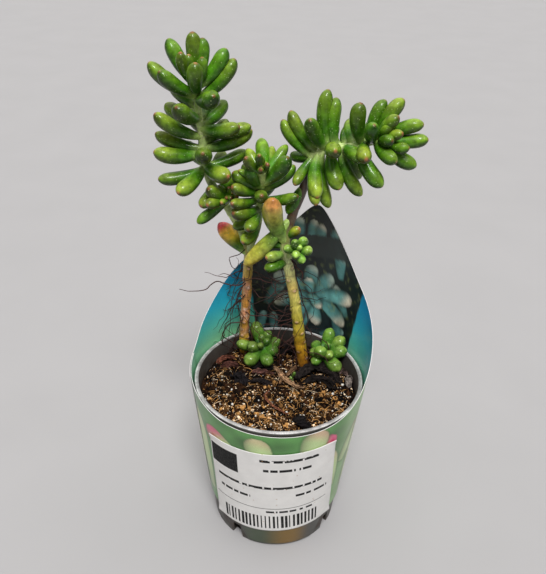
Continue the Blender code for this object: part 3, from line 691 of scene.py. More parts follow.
def leaf_skin(name, roughness):
    """Waxy succulent leaf: satin skin over juicy flesh, so highlights are soft but clear, with pale
    pores, dull scuffs and cloudy patches in the green."""
    material, tree, shader, place = new_material(
        name, IOR=1.45, Specular_IOR_Level=0.25, Subsurface_Weight=0.03, Subsurface_Radius=(0.3, 0.8, 0.12),
        Subsurface_Scale=1.2 * MM, Coat_Weight=0.30, Coat_Roughness=0.10,
    )
    tint = add(tree, "VertexColor", layer_name="tint").outputs[0]
    cloud = add(tree, "TexNoise", {"Vector": place, "Scale": lumps(LEAF_CLOUD), "Detail": 4.0}).outputs[0]
    colour = uneven(tree, tint, cloud, 0.55, 1.40)
    coarse = {"Vector": place, "Scale": lumps(LEAF_SCUFF), "Detail": 5.0, "Roughness": 0.7}
    rub = add(tree, "TexNoise", coarse).outputs[0]
    scuff = add(tree, "MapRange", {0: rub, 1: 0.55, 2: 0.74, 3: 0.0, 4: 0.30}).outputs[0]
    colour = add(tree, "Mix", {0: scuff, 6: colour, 7: linear(SCUFF_GREEN)}, data_type="RGBA").outputs[2]
    # Pores are drawn 0.4 mm wide, coarser than real ones, so that they show
    pores = add(tree, "TexVoronoi", {"Vector": place, "Scale": lumps(LEAF_PORE)})
    near = add(tree, "MapRange", {0: pores.outputs["Distance"], 1: 0.10, 2: 0.22, 3: 0.6, 4: 0.0}).outputs[0]
    some = add(tree, "Math", {0: pores.outputs["Color"], 1: 0.5}, operation="GREATER_THAN").outputs[0]
    dot = add(tree, "Math", {0: near, 1: some}, operation="MULTIPLY").outputs[0]
    colour = add(tree, "Mix", {0: dot, 6: colour, 7: linear(PORE_GREEN)}, data_type="RGBA").outputs[2]
    dress(tree, shader, colour, (rub, roughness - 0.08, roughness + 0.12), rub, 0.07)
    return material


def stem_bark(name):
    """Thin bark of a young woody stem: smooth, half glossy, with fine cracks along it."""
    material, tree, shader, place = new_material(name, IOR=1.45, Coat_Weight=0.3, Coat_Roughness=0.2)
    tint = add(tree, "VertexColor", layer_name="tint").outputs[0]
    along = add(tree, "Mapping", {"Vector": place, "Scale": (1.0, 1.0, 0.3)}).outputs[0]
    cracks = {"Vector": along, "Scale": lumps(BARK_CRACK), "Detail": 4.0, "Roughness": 0.65}
    grain = add(tree, "TexNoise", cracks).outputs[0]
    dress(tree, shader, uneven(tree, tint, grain, 0.62, 1.34), (grain, 0.34, 0.56), grain, 0.14)
    return material


def root_skin():
    """Dry hair roots: dull and fibrous, darker in places."""
    material, tree, shader, place = new_material("dry root", Roughness=0.7)
    tint = add(tree, "VertexColor", layer_name="tint").outputs[0]
    cloud = add(tree, "TexNoise", {"Vector": place, "Scale": lumps(ROOT_CLOUD), "Detail": 3.0}).outputs[0]
    dress(tree, shader, uneven(tree, tint, cloud, 0.5, 1.4))
    return material


def peat(name, bump_mm, dark, light):
    """Damp peat and coir: rough, crumbly and nearly without gloss, with grit from black to pale."""
    material, tree, shader, place = new_material(name, Roughness=0.85, Specular_IOR_Level=0.1)
    tint = add(tree, "VertexColor", layer_name="tint").outputs[0]
    crumbly = {"Vector": place, "Scale": lumps(PEAT_GRIT), "Detail": 4.0, "Roughness": 0.7}
    grit = add(tree, "TexNoise", crumbly).outputs[0]
    dress(tree, shader, uneven(tree, tint, grit, dark, light, (0.32, 0.68)), height=grit, bump_mm=bump_mm)
    return material


def perlite_foam():
    """Expanded volcanic glass: chalk white, matt and pitted, in sharp-edged crumbs."""
    material, tree, shader, place = new_material("perlite", Roughness=0.65)
    tint = add(tree, "VertexColor", layer_name="tint").outputs[0]
    pits = add(tree, "TexVoronoi", {"Vector": place, "Scale": lumps(PERLITE_PIT)}).outputs["Distance"]
    dress(tree, shader, uneven(tree, tint, pits, 1.0, 0.8, (0.1, 0.6)), height=pits, bump_mm=0.1)
    return material


def pot_plastic(settings):
    """Moulded polypropylene: satin, pale on top of its lip from a painted highlight mottled like wear,
    dusty with peat inside and greenish with age at its foot."""
    material, tree, shader, place = new_material("moulded polypropylene", IOR=1.49)
    height = add(tree, "SeparateXYZ", {0: place}).outputs[2]
    flat = add(tree, "VectorMath", {0: place, 1: (1, 1, 0)}, operation="MULTIPLY").outputs[0]
    radius = add(tree, "VectorMath", {0: flat}, operation="LENGTH").outputs["Value"]
    cloud = add(tree, "TexNoise", {"Vector": place, "Scale": lumps(PLASTIC_CLOUD), "Detail": 4.0}).outputs[0]
    fine = add(tree, "TexNoise", {"Vector": place, "Scale": lumps(PLASTIC_GRAIN), "Detail": 2.0}).outputs[0]
    start, end = FOOT_TINT
    low = add(tree, "MapRange", {0: height, 1: start * MM, 2: end * MM, 3: 1.0, 4: 0.0}).outputs[0]
    plastic, foot = tuple(settings.plastic), tuple(settings.foot)
    colour = add(tree, "Mix", {0: low, 6: plastic, 7: foot}, data_type="RGBA").outputs[2]
    inner = (NECK_RADIUS - POT_WALL + 0.05) * MM
    inside = add(tree, "Math", {0: radius, 1: inner}, operation="LESS_THAN").outputs[0]
    start, end = DUST_LINE
    deep = add(tree, "MapRange", {0: height, 1: start * MM, 2: end * MM, 3: 1.0, 4: 0.15}).outputs[0]
    patch = add(tree, "MapRange", {0: cloud, 1: 0.42, 2: 0.62, 3: 0.15, 4: 1.0}).outputs[0]
    dusty = add(tree, "Math", {0: deep, 1: patch}, operation="MULTIPLY").outputs[0]
    dusty = add(tree, "Math", {0: dusty, 1: inside}, operation="MULTIPLY").outputs[0]
    colour = add(tree, "Mix", {0: dusty, 6: colour, 7: tuple(settings.dust)}, data_type="RGBA").outputs[2]
    # Painted highlight with wear: the lip's top face turns pale in mottled patches, most at its outer edge
    start, end = (POT_HEIGHT - 0.5) * MM, (POT_HEIGHT - 0.2) * MM
    top = add(tree, "MapRange", {0: height, 1: start, 2: end}).outputs[0]
    worn = add(tree, "MapRange", {0: cloud, 1: 0.35, 2: 0.6, 3: 0.5, 4: 1.0}).outputs[0]
    lit_and_rubbed = add(tree, "Math", {0: top, 1: worn}, operation="MULTIPLY").outputs[0]
    edge = (LIP_RADIUS - 1.3) * MM
    outer = add(tree, "MapRange", {0: radius, 1: edge, 2: edge + 0.5 * MM, 3: 0.5, 4: 1.0}).outputs[0]
    lit_and_rubbed = add(tree, "Math", {0: lit_and_rubbed, 1: outer}, operation="MULTIPLY").outputs[0]
    colour = add(tree, "Mix", {0: lit_and_rubbed, 6: colour, 7: tuple(settings.lip)}, data_type="RGBA").outputs[2]
    dress(tree, shader, uneven(tree, colour, fine, 0.8, 1.2), (cloud, 0.34, 0.52), fine, 0.03)
    return material


def printed_film():
    """Printed and varnished plastic-coated card: smooth and semi-gloss, with a fine printing grain
    and the faint waviness of a thin sheet."""
    material, tree, shader, place = new_material(
        "varnished card", IOR=1.5, Coat_Weight=0.25, Coat_Roughness=0.2,
    )
    tint = add(tree, "VertexColor", layer_name="tint").outputs[0]
    grain = add(tree, "TexNoise", {"Vector": place, "Scale": lumps(CARD_GRAIN), "Detail": 2.0}).outputs[0]
    colour = uneven(tree, tint, grain, 0.9, 1.1)
    wave = add(tree, "TexNoise", {"Vector": place, "Scale": lumps(CARD_WAVE), "Detail": 1.0}).outputs[0]
    dress(tree, shader, colour, (wave, 0.3, 0.42), wave, 0.25)
    return material


# The label's print, in millimetres from its middle: boxes as (left, right, foot, top), and lines of
# dashes as (left, right, foot, top) too
LABEL_BOXES = ((-30.3, -15.2, 11.5, 24.0), (-29.5, 27.0, -11.2, -10.85))
LABEL_LINES = (
    (-4.6, 22.0, 22.7, 24.4), (-3.2, 18.5, 16.2, 17.9), (-27.0, 24.0, 3.7, 5.4), (-26.0, -10.0, -3.8, -2.2),
    (11.0, 27.0, -2.8, -1.2), (-3.0, 20.0, -14.2, -12.8),
)
LABEL_BARS = (-25.0, 22.0, -26.3, -16.8)
DASH_STEP = 0.8
LINE_STEP = 4.0
BAR_STEP = 1.9
INK_BLUR = 0.08

# The share of each line that is left blank, and how much of its step a bar may fill
BLANK_SHARE = 0.18
BAR_SHARES = (0.3, 0.72)


def label_paper(settings):
    """Uncoated label paper with plain black print, a little worn: a block, a rule, lines of random
    dashes, and upright bars of random width that encode nothing."""
    material, tree, shader, place = new_material("label paper", Roughness=0.62, Specular_IOR_Level=0.12)
    share = add(tree, "UVMap", uv_map="UVMap").outputs[0]
    wide, high = settings.width / MM, settings.height / MM
    spot = add(tree, "VectorMath", {0: share, 1: (0.5, 0.5, 0)}, operation="SUBTRACT").outputs[0]
    spot = add(tree, "VectorMath", {0: spot, 1: (wide, high, 0)}, operation="MULTIPLY").outputs[0]
    axes = add(tree, "SeparateXYZ", {0: spot})
    cell = add(tree, "VectorMath", {0: spot, 1: (DASH_STEP, LINE_STEP, 1)}, operation="DIVIDE").outputs[0]
    cell = add(tree, "VectorMath", {0: cell}, operation="FLOOR").outputs[0]
    dash = add(tree, "TexWhiteNoise", {"Vector": cell}, noise_dimensions="2D").outputs[0]
    dash = add(tree, "Math", {0: dash, 1: BLANK_SHARE}, operation="GREATER_THAN").outputs[0]
    step = add(tree, "Math", {0: axes.outputs[0], 1: BAR_STEP}, operation="DIVIDE").outputs[0]
    column = add(tree, "Math", {0: step}, operation="FLOOR").outputs[0]
    part = add(tree, "Math", {0: step}, operation="FRACT").outputs[0]
    draw = add(tree, "TexWhiteNoise", {"W": column}, noise_dimensions="1D").outputs[0]
    narrow, broad = BAR_SHARES
    reach = add(tree, "MapRange", {0: draw, 3: narrow, 4: broad}).outputs[0]
    bars = add(tree, "Math", {0: part, 1: reach}, operation="LESS_THAN").outputs[0]
    ink = 0.0
    shapes = [(box, 1.0) for box in LABEL_BOXES] + [(line, dash) for line in LABEL_LINES]
    for (left, right, foot, top), fill in (*shapes, (LABEL_BARS, bars)):
        middle, half = ((left + right) / 2, (foot + top) / 2, 0), ((right - left) / 2, (top - foot) / 2, 1)
        away = add(tree, "VectorMath", {0: spot, 1: middle}, operation="SUBTRACT").outputs[0]
        away = add(tree, "VectorMath", {0: away}, operation="ABSOLUTE").outputs[0]
        away = add(tree, "VectorMath", {0: away, 1: half}, operation="SUBTRACT").outputs[0]
        past = add(tree, "SeparateXYZ", {0: away})
        past = add(tree, "Math", {0: past.outputs[0], 1: past.outputs[1]}, operation="MAXIMUM").outputs[0]
        mask = add(tree, "MapRange", {0: past, 1: -INK_BLUR, 2: INK_BLUR, 3: 1.0, 4: 0.0}).outputs[0]
        mask = add(tree, "Math", {0: mask, 1: fill}, operation="MULTIPLY").outputs[0]
        ink = add(tree, "Math", {0: ink, 1: mask}, operation="MAXIMUM").outputs[0]
    pulp = add(tree, "TexNoise", {"Vector": place, "Scale": lumps(PAPER_PULP), "Detail": 4.0}).outputs[0]
    paper = uneven(tree, tuple(settings.paper), pulp, 0.94, 1.04)
    grain = add(tree, "TexNoise", {"Vector": place, "Scale": lumps(PAPER_GRAIN), "Detail": 2.0}).outputs[0]
    worn = add(tree, "MapRange", {0: grain, 1: 0.3, 2: 0.7, 3: 1.0, 4: 0.96}).outputs[0]
    ink = add(tree, "Math", {0: ink, 1: worn}, operation="MULTIPLY").outputs[0]
    colour = add(tree, "Mix", {0: ink, 6: paper, 7: tuple(settings.ink)}, data_type="RGBA").outputs[2]
    dirt = add(tree, "TexVoronoi", {"Vector": place, "Scale": lumps(PAPER_SPECK)}).outputs["Distance"]
    speck = add(tree, "MapRange", {0: dirt, 1: 0.05, 2: 0.11, 3: 0.45, 4: 0.0}).outputs[0]
    colour = add(tree, "Mix", {0: speck, 6: colour, 7: linear(DIRT_BROWN)}, data_type="RGBA").outputs[2]
    dress(tree, shader, colour, height=pulp, bump_mm=0.08)
    return material


def matt_paper(settings):
    """Studio paper sweep: matt and almost even, with a faint mottle."""
    material, tree, shader, place = new_material("matt paper", Roughness=0.9, Specular_IOR_Level=0.2)
    cloud = add(tree, "TexNoise", {"Vector": place, "Scale": lumps(SWEEP_CLOUD), "Detail": 2.0}).outputs[0]
    dress(tree, shader, uneven(tree, tuple(settings.floor), cloud, 0.985, 1.015))
    return material


def wall_radius(height):
    """The pot's outer radius at a height."""
    return BASE_RADIUS + (NECK_RADIUS - BASE_RADIUS) * height / POT_HEIGHT


def rounded(corners):
    """A profile through (radius, height, rounding) corners, each rounded by a quadratic curve."""
    points = np.array(corners, float)
    path = [points[0, :2]]
    share = np.linspace(0, 1, ROUND_STEPS)[:, None]
    for before, here, after in zip(points, points[1:], points[2:]):
        corner = here[:2]
        into = corner + unit(before[:2] - corner) * here[2]
        out = corner + unit(after[:2] - corner) * here[2]
        path.extend((1 - share) ** 2 * into + 2 * share * (1 - share) * corner + share ** 2 * out)
    path.append(points[-1, :2])
    return np.array(path)


def notch_cutter(heading):
    """A tapered block through the pot's foot."""
    way, side = compass(heading), compass(heading + 90)
    corners = []
    for reach in NOTCH_REACH:
        for width, height in ((NOTCH_WIDTH, -1), (NOTCH_TOP_WIDTH, NOTCH_HEIGHT)):
            for half in (-width / 2, width / 2):
                corners.append((BASE_RADIUS + reach) * way + half * side + np.array((0, 0, height)))
    faces = ((0, 2, 3, 1), (4, 5, 7, 6), (0, 1, 5, 4), (2, 6, 7, 3), (0, 4, 6, 2), (1, 3, 7, 5))
    mesh = bpy.data.meshes.new("notch_cutter")
    mesh.from_pydata((np.array(corners) * MM).tolist(), [], faces)
    mesh.update()
    cutter = bpy.data.objects.new("notch_cutter", mesh)
    bpy.context.scene.collection.objects.link(cutter)
    return cutter


class SEDUM_OT_pot(bpy.types.Operator):
    """Builds the nursery pot: a tapered moulded shell with a rolled, grooved lip and drain notches"""
    bl_idname = "sedum.pot"
    bl_label = "Pot"

    # Millimetres, besides the number of sides and the angle in degrees
    sides = 240
    pole = 0.4
    foot_edge = 3.2
    foot_round = 0.7
    groove_half = 0.35
    groove_depth = 0.3
    sharp_angle = 40

    def execute(self, context):
        settings = context.scene.sedum_pot
        lip = settings.lip_round / MM
        top, neck = POT_HEIGHT, POT_HEIGHT - LIP_DEPTH
        inner = NECK_RADIUS - POT_WALL
        groove = (inner + LIP_RADIUS) / 2
        profile = rounded((
            (self.pole, 0, 0), (BASE_RADIUS - self.foot_edge, 0, 0.2), (BASE_RADIUS, 0, self.foot_round),
            (wall_radius(neck), neck, 0.3), (LIP_RADIUS, neck, 0.3), (LIP_RADIUS, top, lip),
            (groove + self.groove_half, top, 0.1), (groove, top - self.groove_depth, 0.1),
            (groove - self.groove_half, top - 0.05, 0.1), (inner, top - 0.05, lip),
            (wall_radius(POT_FLOOR) - POT_WALL, POT_FLOOR, 1.2), (self.pole, POT_FLOOR, 0),
        ))
        turns = np.arange(self.sides) * 2 * math.pi / self.sides
        out = np.stack((np.sin(turns), -np.cos(turns), 0 * turns), -1)
        grid = profile[:, None, :1] * out + profile[:, None, 1:] * np.array((0, 0, 1))
        part = tube(grid, (0, 0, 0), (0, 0, POT_FLOOR), np.ones(grid.shape))
        pot = assemble("plastic_pot", [part], pot_plastic(settings), ["pot"])
        for heading in NOTCH_HEADINGS:
            cutter = notch_cutter(heading)
            cut = pot.modifiers.new("notch", "BOOLEAN")
            cut.operation = "DIFFERENCE"
            cut.object = cutter
            context.view_layer.update()
            mesh = bpy.data.meshes.new_from_object(pot.evaluated_get(context.evaluated_depsgraph_get()))
            pot.modifiers.clear()
            pot.data = mesh
            bpy.data.objects.remove(cutter)
        pot.data.shade_smooth()
        pot.data.set_sharp_from_angle(angle=math.radians(self.sharp_angle))
        return {"FINISHED"}


def soil_height(x, y):
    """The soil's uneven top: a few seeded waves that die out at the wall, and a rise at the back."""
    draw = np.random.default_rng(SOIL_SEED)
    height = SOIL_LEVEL + SOIL_SLOPE * y
    fade = np.clip(1 - (np.hypot(x, y) / SOIL_FLAT_RADIUS) ** 6, 0, 1)
    for wave in range(SOIL_WAVES):
        turn = draw.uniform(0, 2 * math.pi)
        shift = draw.uniform(0, 2 * math.pi)
        pace = FIRST_WAVE + WAVE_STEP * wave
        swing = np.sin(pace * (x * math.cos(turn) + y * math.sin(turn)) + shift)
        height = height + fade * SOIL_BUMP / (1 + wave / 2) * swing
    return height


def crumbly_height(x, y):
    """The soil's top with its clods: waves plus lumps of four sizes."""
    height = soil_height(x, y)
    for lump, high, seed in CLODS:
        height = height + high * relief(x, y, lump, seed)
    return height


def warmth(x, y):
    """How golden the soil is at a place, about 0 to 1: patches of 5 and 1.8 mm, more of them
    towards the front."""
    return 0.42 - 0.011 * y + 0.45 * relief(x, y, 5.0, 25) + 0.35 * relief(x, y, 1.8, 26)


class SEDUM_OT_soil(bpy.types.Operator):
    """Builds the soil plug, with its lumpy top"""
    bl_idname = "sedum.soil"
    bl_label = "Soil"

    # How fine the top is worked out
    sides = 400
    rings = 125

    def execute(self, context):
        settings = context.scene.sedum_soil
        rim = wall_radius(SOIL_LEVEL) - POT_WALL - 0.15
        turns = np.radians(np.arange(self.sides) * (360 / self.sides))
        deep = (wall_radius(2) - POT_WALL - 1.5, wall_radius(4) - POT_WALL - 0.4)
        radii = np.concatenate((deep, np.linspace(rim, 0.3, self.rings)))
        out = np.stack((np.sin(turns), -np.cos(turns)), -1)
        flat = radii[:, None, None] * out
        x, y = flat[..., 0], flat[..., 1]
        z = crumbly_height(x, y)
        z[0], z[1] = POT_FLOOR + GAP, POT_FLOOR + 3
        shadow = ramp(z - soil_height(x, y), 0.8, -0.3)
        colours = mix(settings.crumb, settings.coir, 0.6 * ramp(warmth(x, y), 0.5, 1.0))
        colours = mix(colours, settings.peat, 0.65 + 0.35 * shadow)
        foot, tip = (0, 0, POT_FLOOR + GAP), (0, 0, float(crumbly_height(0.0, 0.0)))
        part = tube(np.stack((x, y, z), -1), foot, tip, colours)
        assemble("soil_plug", [part], peat("damp peat", 0.5, 0.2, 2.0), ["soil"])
        return {"FINISHED"}


def turned_at_random(draw, number):
    """Random turns as 3 by 3 matrices, from random unit quaternions."""
    w, x, y, z = unit(draw.normal(size=(number, 4))).T
    return np.stack((
        1 - 2 * (y * y + z * z), 2 * (x * y - z * w), 2 * (x * z + y * w),
        2 * (x * y + z * w), 1 - 2 * (x * x + z * z), 2 * (y * z - x * w),
        2 * (x * z - y * w), 2 * (y * z + x * w), 1 - 2 * (x * x + y * y),
    ), -1).reshape(number, 3, 3)


def ball(cuts):
    """Points and triangles of a unit icosphere, each cut of which makes four faces of one."""
    g = (1 + math.sqrt(5)) / 2
    points = np.array((
        (-1, g, 0), (1, g, 0), (-1, -g, 0), (1, -g, 0), (0, -1, g), (0, 1, g),
        (0, -1, -g), (0, 1, -g), (g, 0, -1), (g, 0, 1), (-g, 0, -1), (-g, 0, 1),
    ), float)
    faces = np.array((
        (0, 11, 5), (0, 5, 1), (0, 1, 7), (0, 7, 10), (0, 10, 11), (1, 5, 9), (5, 11, 4),
        (11, 10, 2), (10, 7, 6), (7, 1, 8), (3, 9, 4), (3, 4, 2), (3, 2, 6), (3, 6, 8),
        (3, 8, 9), (4, 9, 5), (2, 4, 11), (6, 2, 10), (8, 6, 7), (9, 8, 1),
    ))
    for _ in range(cuts):
        edges = np.sort(np.vstack((faces[:, (0, 1)], faces[:, (1, 2)], faces[:, (2, 0)])), axis=1)
        pairs, which = np.unique(edges, axis=0, return_inverse=True)
        middle = (len(points) + which).reshape(3, -1)
        points = np.vstack((points, points[pairs].mean(axis=1)))
        a, b, c = faces.T
        ab, bc, ca = middle
        corners = ((a, ab, ca), (b, bc, ab), (c, ca, bc), (ab, bc, ca))
        faces = np.vstack([np.stack(corner, -1) for corner in corners])
    return unit(points), faces


def grains(draw, places, sizes, flatness, roughness, cuts, colours):
    """Rough grains in one part: unit balls whose points are pushed in and out at random, squashed,
    turned at random and put in their places."""
    points, faces = ball(cuts)
    number = len(places)
    push = 1 + roughness * draw.uniform(-1, 1, (number, len(points), 1))
    scale = draw.uniform(flatness, 1.0, (number, 1, 3)) * sizes[:, None, None]
    shaped = np.einsum("nij,npj->npi", turned_at_random(draw, number), points * push * scale)
    vertices = (shaped + places[:, None]).reshape(-1, 3)
    triangles = (faces + np.arange(number)[:, None, None] * len(points)).reshape(-1, 3)
    none = np.zeros((0, 4), int)
    return vertices, none, triangles, np.repeat(colours, len(points), axis=0)


def scattered(draw, number, reach):
    """Places on the soil, evenly spread over a disc."""
    radius = reach * np.sqrt(draw.uniform(0, 1, number))
    turn = draw.uniform(0, 2 * math.pi, number)
    return radius * np.cos(turn), radius * np.sin(turn)


class SEDUM_OT_crumbs(bpy.types.Operator):
    """Scatters peat crumbs, coir fibres and perlite on the soil"""
    bl_idname = "sedum.crumbs"
    bl_label = "Crumbs, fibres and perlite"

    # The number of larger clods, and how fine each fibre is
    big = 420
    fibre_rings = 7
    fibre_sides = 3

    def execute(self, context):
        settings = context.scene.sedum_soil
        draw = np.random.default_rng(CRUMB_SEED)
        reach = wall_radius(SOIL_LEVEL) - POT_WALL - 0.9
        number = settings.crumbs
        x, y = scattered(draw, number, reach)
        sizes = np.clip(0.27 * np.exp(draw.normal(0, 0.45, number)), 0.15, 1.1)
        z = crumbly_height(x, y) + 0.25 * sizes
        tone = draw.uniform(0, 1, number)
        colours = mix(settings.peat, settings.crumb, draw.uniform(-0.4, 1.3, number))
        colours = mix(colours, settings.coir, ramp(0.75 * warmth(x, y) - tone, -0.05, 0.2))
        colours = mix(colours, settings.straw, ramp(0.35 * warmth(x, y) - tone, -0.05, 0.15))
        crumbs = grains(draw, np.stack((x, y, z), -1), sizes, 0.5, 0.35, 0, colours)
        x, y = scattered(draw, self.big, reach - 1)
        places = np.stack((x, y, crumbly_height(x, y) + 0.3), -1)
        colours = mix(settings.peat, settings.crumb, draw.uniform(-0.5, 1.0, self.big))
        tone = draw.uniform(0, 1, self.big)
        colours = mix(colours, settings.coir, ramp(0.6 * warmth(x, y) - tone, -0.05, 0.3))
        clods = grains(draw, places, draw.uniform(0.6, 1.5, self.big), 0.45, 0.3, 1, colours)
        assemble("soil_crumbs", [crumbs, clods], peat("peat crumbs", 0.25, 0.15, 2.1), smooth=False)
        assemble("coir_fibres", [self.fibres(settings, draw, reach)], peat("coir", 0.08, 0.5, 1.6))
        large = np.array(PERLITE)
        x, y = scattered(draw, settings.grains, reach)
        x, y = np.concatenate((large[:, 0], x)), np.concatenate((large[:, 1], y))
        sizes = np.concatenate((large[:, 2] / 2, draw.uniform(0.2, 0.46, settings.grains)))
        places = np.stack((x, y, crumbly_height(x, y) + 0.4 * sizes + 0.25), -1)
        colours = mix(settings.perlite, settings.straw, draw.uniform(0, 1, len(x)) ** 4)
        part = grains(draw, places, sizes, 0.45, 0.38, 0, colours)
        assemble("perlite_grains", [part], perlite_foam(), smooth=False)
        return {"FINISHED"}

    def fibres(self, settings, draw, reach):
        """Bent three-sided fibres that lie on the soil, each an arc in plan that arches up a little."""
        number, rings, sides = settings.fibres, self.fibre_rings, self.fibre_sides
        x, y = scattered(draw, number, reach - 2)
        heading = draw.uniform(0, 2 * math.pi, (number, 1))
        heading = heading + np.linspace(-0.5, 0.5, rings) * draw.normal(0, 0.9, (number, 1))
        length = np.clip(draw.lognormal(0.75, 0.5, (number, 1)), 1.0, 8)
        step = length / (rings - 1)
        px = x[:, None] + np.cumsum(step * np.cos(heading), axis=1)
        py = y[:, None] + np.cumsum(step * np.sin(heading), axis=1)
        squeeze = np.minimum(1, (reach - 0.3) / np.hypot(px, py))
        px, py = px * squeeze, py * squeeze
        arch = np.sin(np.linspace(0, math.pi, rings)) * draw.uniform(0.1, 0.9, (number, 1))
        pz = soil_height(px, py) + 0.55 * relief(px, py, 8.0, 11) + 0.6 * relief(px, py, 3.0, 12) + 0.5 + arch
        centres = np.stack((px, py, pz), -1)
        ways = unit(np.gradient(centres, axis=1))
        side = unit(np.cross(ways, (0, 0, 1)))
        top = np.cross(side, ways)
        turns = np.arange(sides) * 2 * math.pi / sides
        taper = 1 - 0.6 * np.abs(np.linspace(-1, 1, rings)) ** 3
        thick = draw.uniform(0.07, 0.20, (number, 1)) * taper
        ring = np.cos(turns)[:, None] * side[..., None, :] - np.sin(turns)[:, None] * top[..., None, :]
        grid = centres[..., None, :] + thick[..., None, None] * ring
        quads, triangles = tube_faces(rings, sides)
        block = rings * sides + 2
        vertices = np.concatenate((grid.reshape(number, -1, 3), centres[:, :1], centres[:, -1:]), axis=1)
        offsets = np.arange(number)[:, None, None] * block
        tone = draw.uniform(0, 1, number)
        colours = mix(settings.peat, settings.coir, ramp(tone + 0.5 * warmth(x, y), 0.25, 0.95))
        colours = mix(colours, settings.straw, ramp(draw.uniform(0, 1, number), 0.75, 1.0))
        return (
            vertices.reshape(-1, 3), (quads + offsets).reshape(-1, 4), (triangles + offsets).reshape(-1, 3),
            np.repeat(colours, block, axis=0),
        )


class SEDUM_OT_bark(bpy.types.Operator):
    """Lays old bark, dry leaves and a twisted root on the soil"""
    bl_idname = "sedum.bark"
    bl_label = "Bark and dry leaves"

    # Layers of each chip, sides round one, and millimetres from ring to ring
    plies = 3
    sides = 22
    step = 0.35

    def execute(self, context):
        draw = np.random.default_rng(BARK_SEED)
        parts = []
        for points, width, thickness, code in BARK:
            for ply in range(self.plies):
                shift = draw.normal(0, 0.22 * width, 3) * (1, 1, 0.35) * (ply > 0)
                parts.append(self.flake(np.array(points) + shift, width, thickness, linear(code), draw))
        assemble("bark_chips", parts, peat("old bark", 0.5, 0.2, 1.7))
        return {"FINISHED"}

    def flake(self, points, width, thickness, colour, draw):
        """A ragged strip of bark along a route: a flat oval section, cupped and grooved along, which
        twists from one end to the other."""
        total = length_of(points)
        places = np.linspace(0, total, max(12, round(total / self.step)))
        centres = through(points, places)
        ways = np.gradient(centres, axis=0)
        flat = unit(np.cross(ways, (0, 0, 1)))
        up = unit(np.cross(flat, ways))
        along, turns = places[:, None], np.arange(self.sides) * 2 * math.pi / self.sides
        far = draw.uniform(0, 60)
        twist = draw.uniform(-0.5, 0.5) + draw.uniform(-1.2, 1.2) * (along / total - 0.5)
        side = np.cos(twist) * flat + np.sin(twist) * up
        top = np.cos(twist) * up - np.sin(twist) * flat
        taper = np.sqrt(np.clip(1 - (2 * along / total - 1) ** 4, 0.03, 1))
        edge = 1 + 0.45 * relief(along, far + 2 * np.sign(np.cos(turns)), 1.0, 42)
        across = width / 2 * taper * edge * np.cos(turns)
        groove = 0.35 * thickness * relief(along * 0.25, far + across, 0.5, 43)
        cup = 0.25 * width * np.cos(turns) ** 2
        deep = 0.3 * thickness * taper * np.sin(turns) + groove + cup - 0.12 * width
        grid = centres[:, None] + across[..., None] * side[:, None] + deep[..., None] * top[:, None]
        streak = relief(along * 0.3, far + across * 2, 0.5, 44) + 0.6 * relief(along, far + across, 1.3, 45)
        colours = mix(np.array(colour) * 0.12, np.array(colour) * 1.5, 0.42 + 0.5 * streak)
        return tube(grid, centres[0], centres[-1], colours)


def wrap_radius(height):
    """The wrap's inner radius, on a cone just off the pot's foot and its lip."""
    low = wall_radius(WRAP_DIP) + GAP
    high = LIP_RADIUS + WRAP_SLACK
    return low + (high - low) * (height - WRAP_DIP) / (POT_HEIGHT - WRAP_DIP)


def from_heading(heading, middle):
    """How many degrees a heading is from a middle one, from -180 to 180."""
    return (heading - middle + 180) % 360 - 180


def wrap_top(heading):
    """The height of the wrap's upper edge, which rises to the tag's point at the back."""
    edge, _ = curve(TAG_EDGE)
    return np.interp(from_heading(heading, TAG_HEADING), edge[:, 0], edge[:, 1])


def wrap_bottom(heading):
    """The height of the wrap's lower edge, which dips to the floor below the label."""
    away = np.abs(from_heading(heading, WRAP_DIP_HEADING))
    return WRAP_DIP + (WRAP_LOW - WRAP_DIP) * ramp(away, WRAP_DIP_HALF, WRAP_DIP_HALF + WRAP_DIP_EASE)


def painted_leaf(colours, x, y, root, heading, length, width, flesh, end, shadow):
    """Paints a finger leaf over colours at (x, y): a club outline from its root along its heading,
    round-shaded across, with its end's colour towards the tip and a soft shadow round it."""
    turn = math.radians(heading)
    along = (x - root[0]) * math.sin(turn) + (y - root[1]) * math.cos(turn)
    across = (x - root[0]) * math.cos(turn) - (y - root[1]) * math.sin(turn)
    t = np.clip(along / length, 0, 1)
    half = width / 2 * (0.5 + 0.5 * np.sin(np.minimum(t / WIDEST, 1) * math.pi / 2))
    past = np.clip((t - WIDEST) / (1 - WIDEST), 0, 1)
    half = half * np.sqrt(np.clip(1 - past ** 2.2, 0.0001, 1))
    outside = np.maximum(np.abs(across) - half, np.maximum(-along, along - length))
    colours = mix(colours, np.array(shadow), 0.55 * ramp(outside, 1.8, 0.0))
    roundness = np.clip(across / np.maximum(half, 0.01), -1, 1)
    light = 1.15 - 0.45 * (roundness - 0.25) ** 2
    body = mix(np.array(flesh) * 0.7, np.array(flesh), ramp(t, 0.0, 0.45))
    body = mix(body, np.array(end), ramp(t + 0.10 * roundness, 0.62, 0.95)) * light[..., None]
    return mix(colours, body, ramp(outside, 0.35, -0.25))


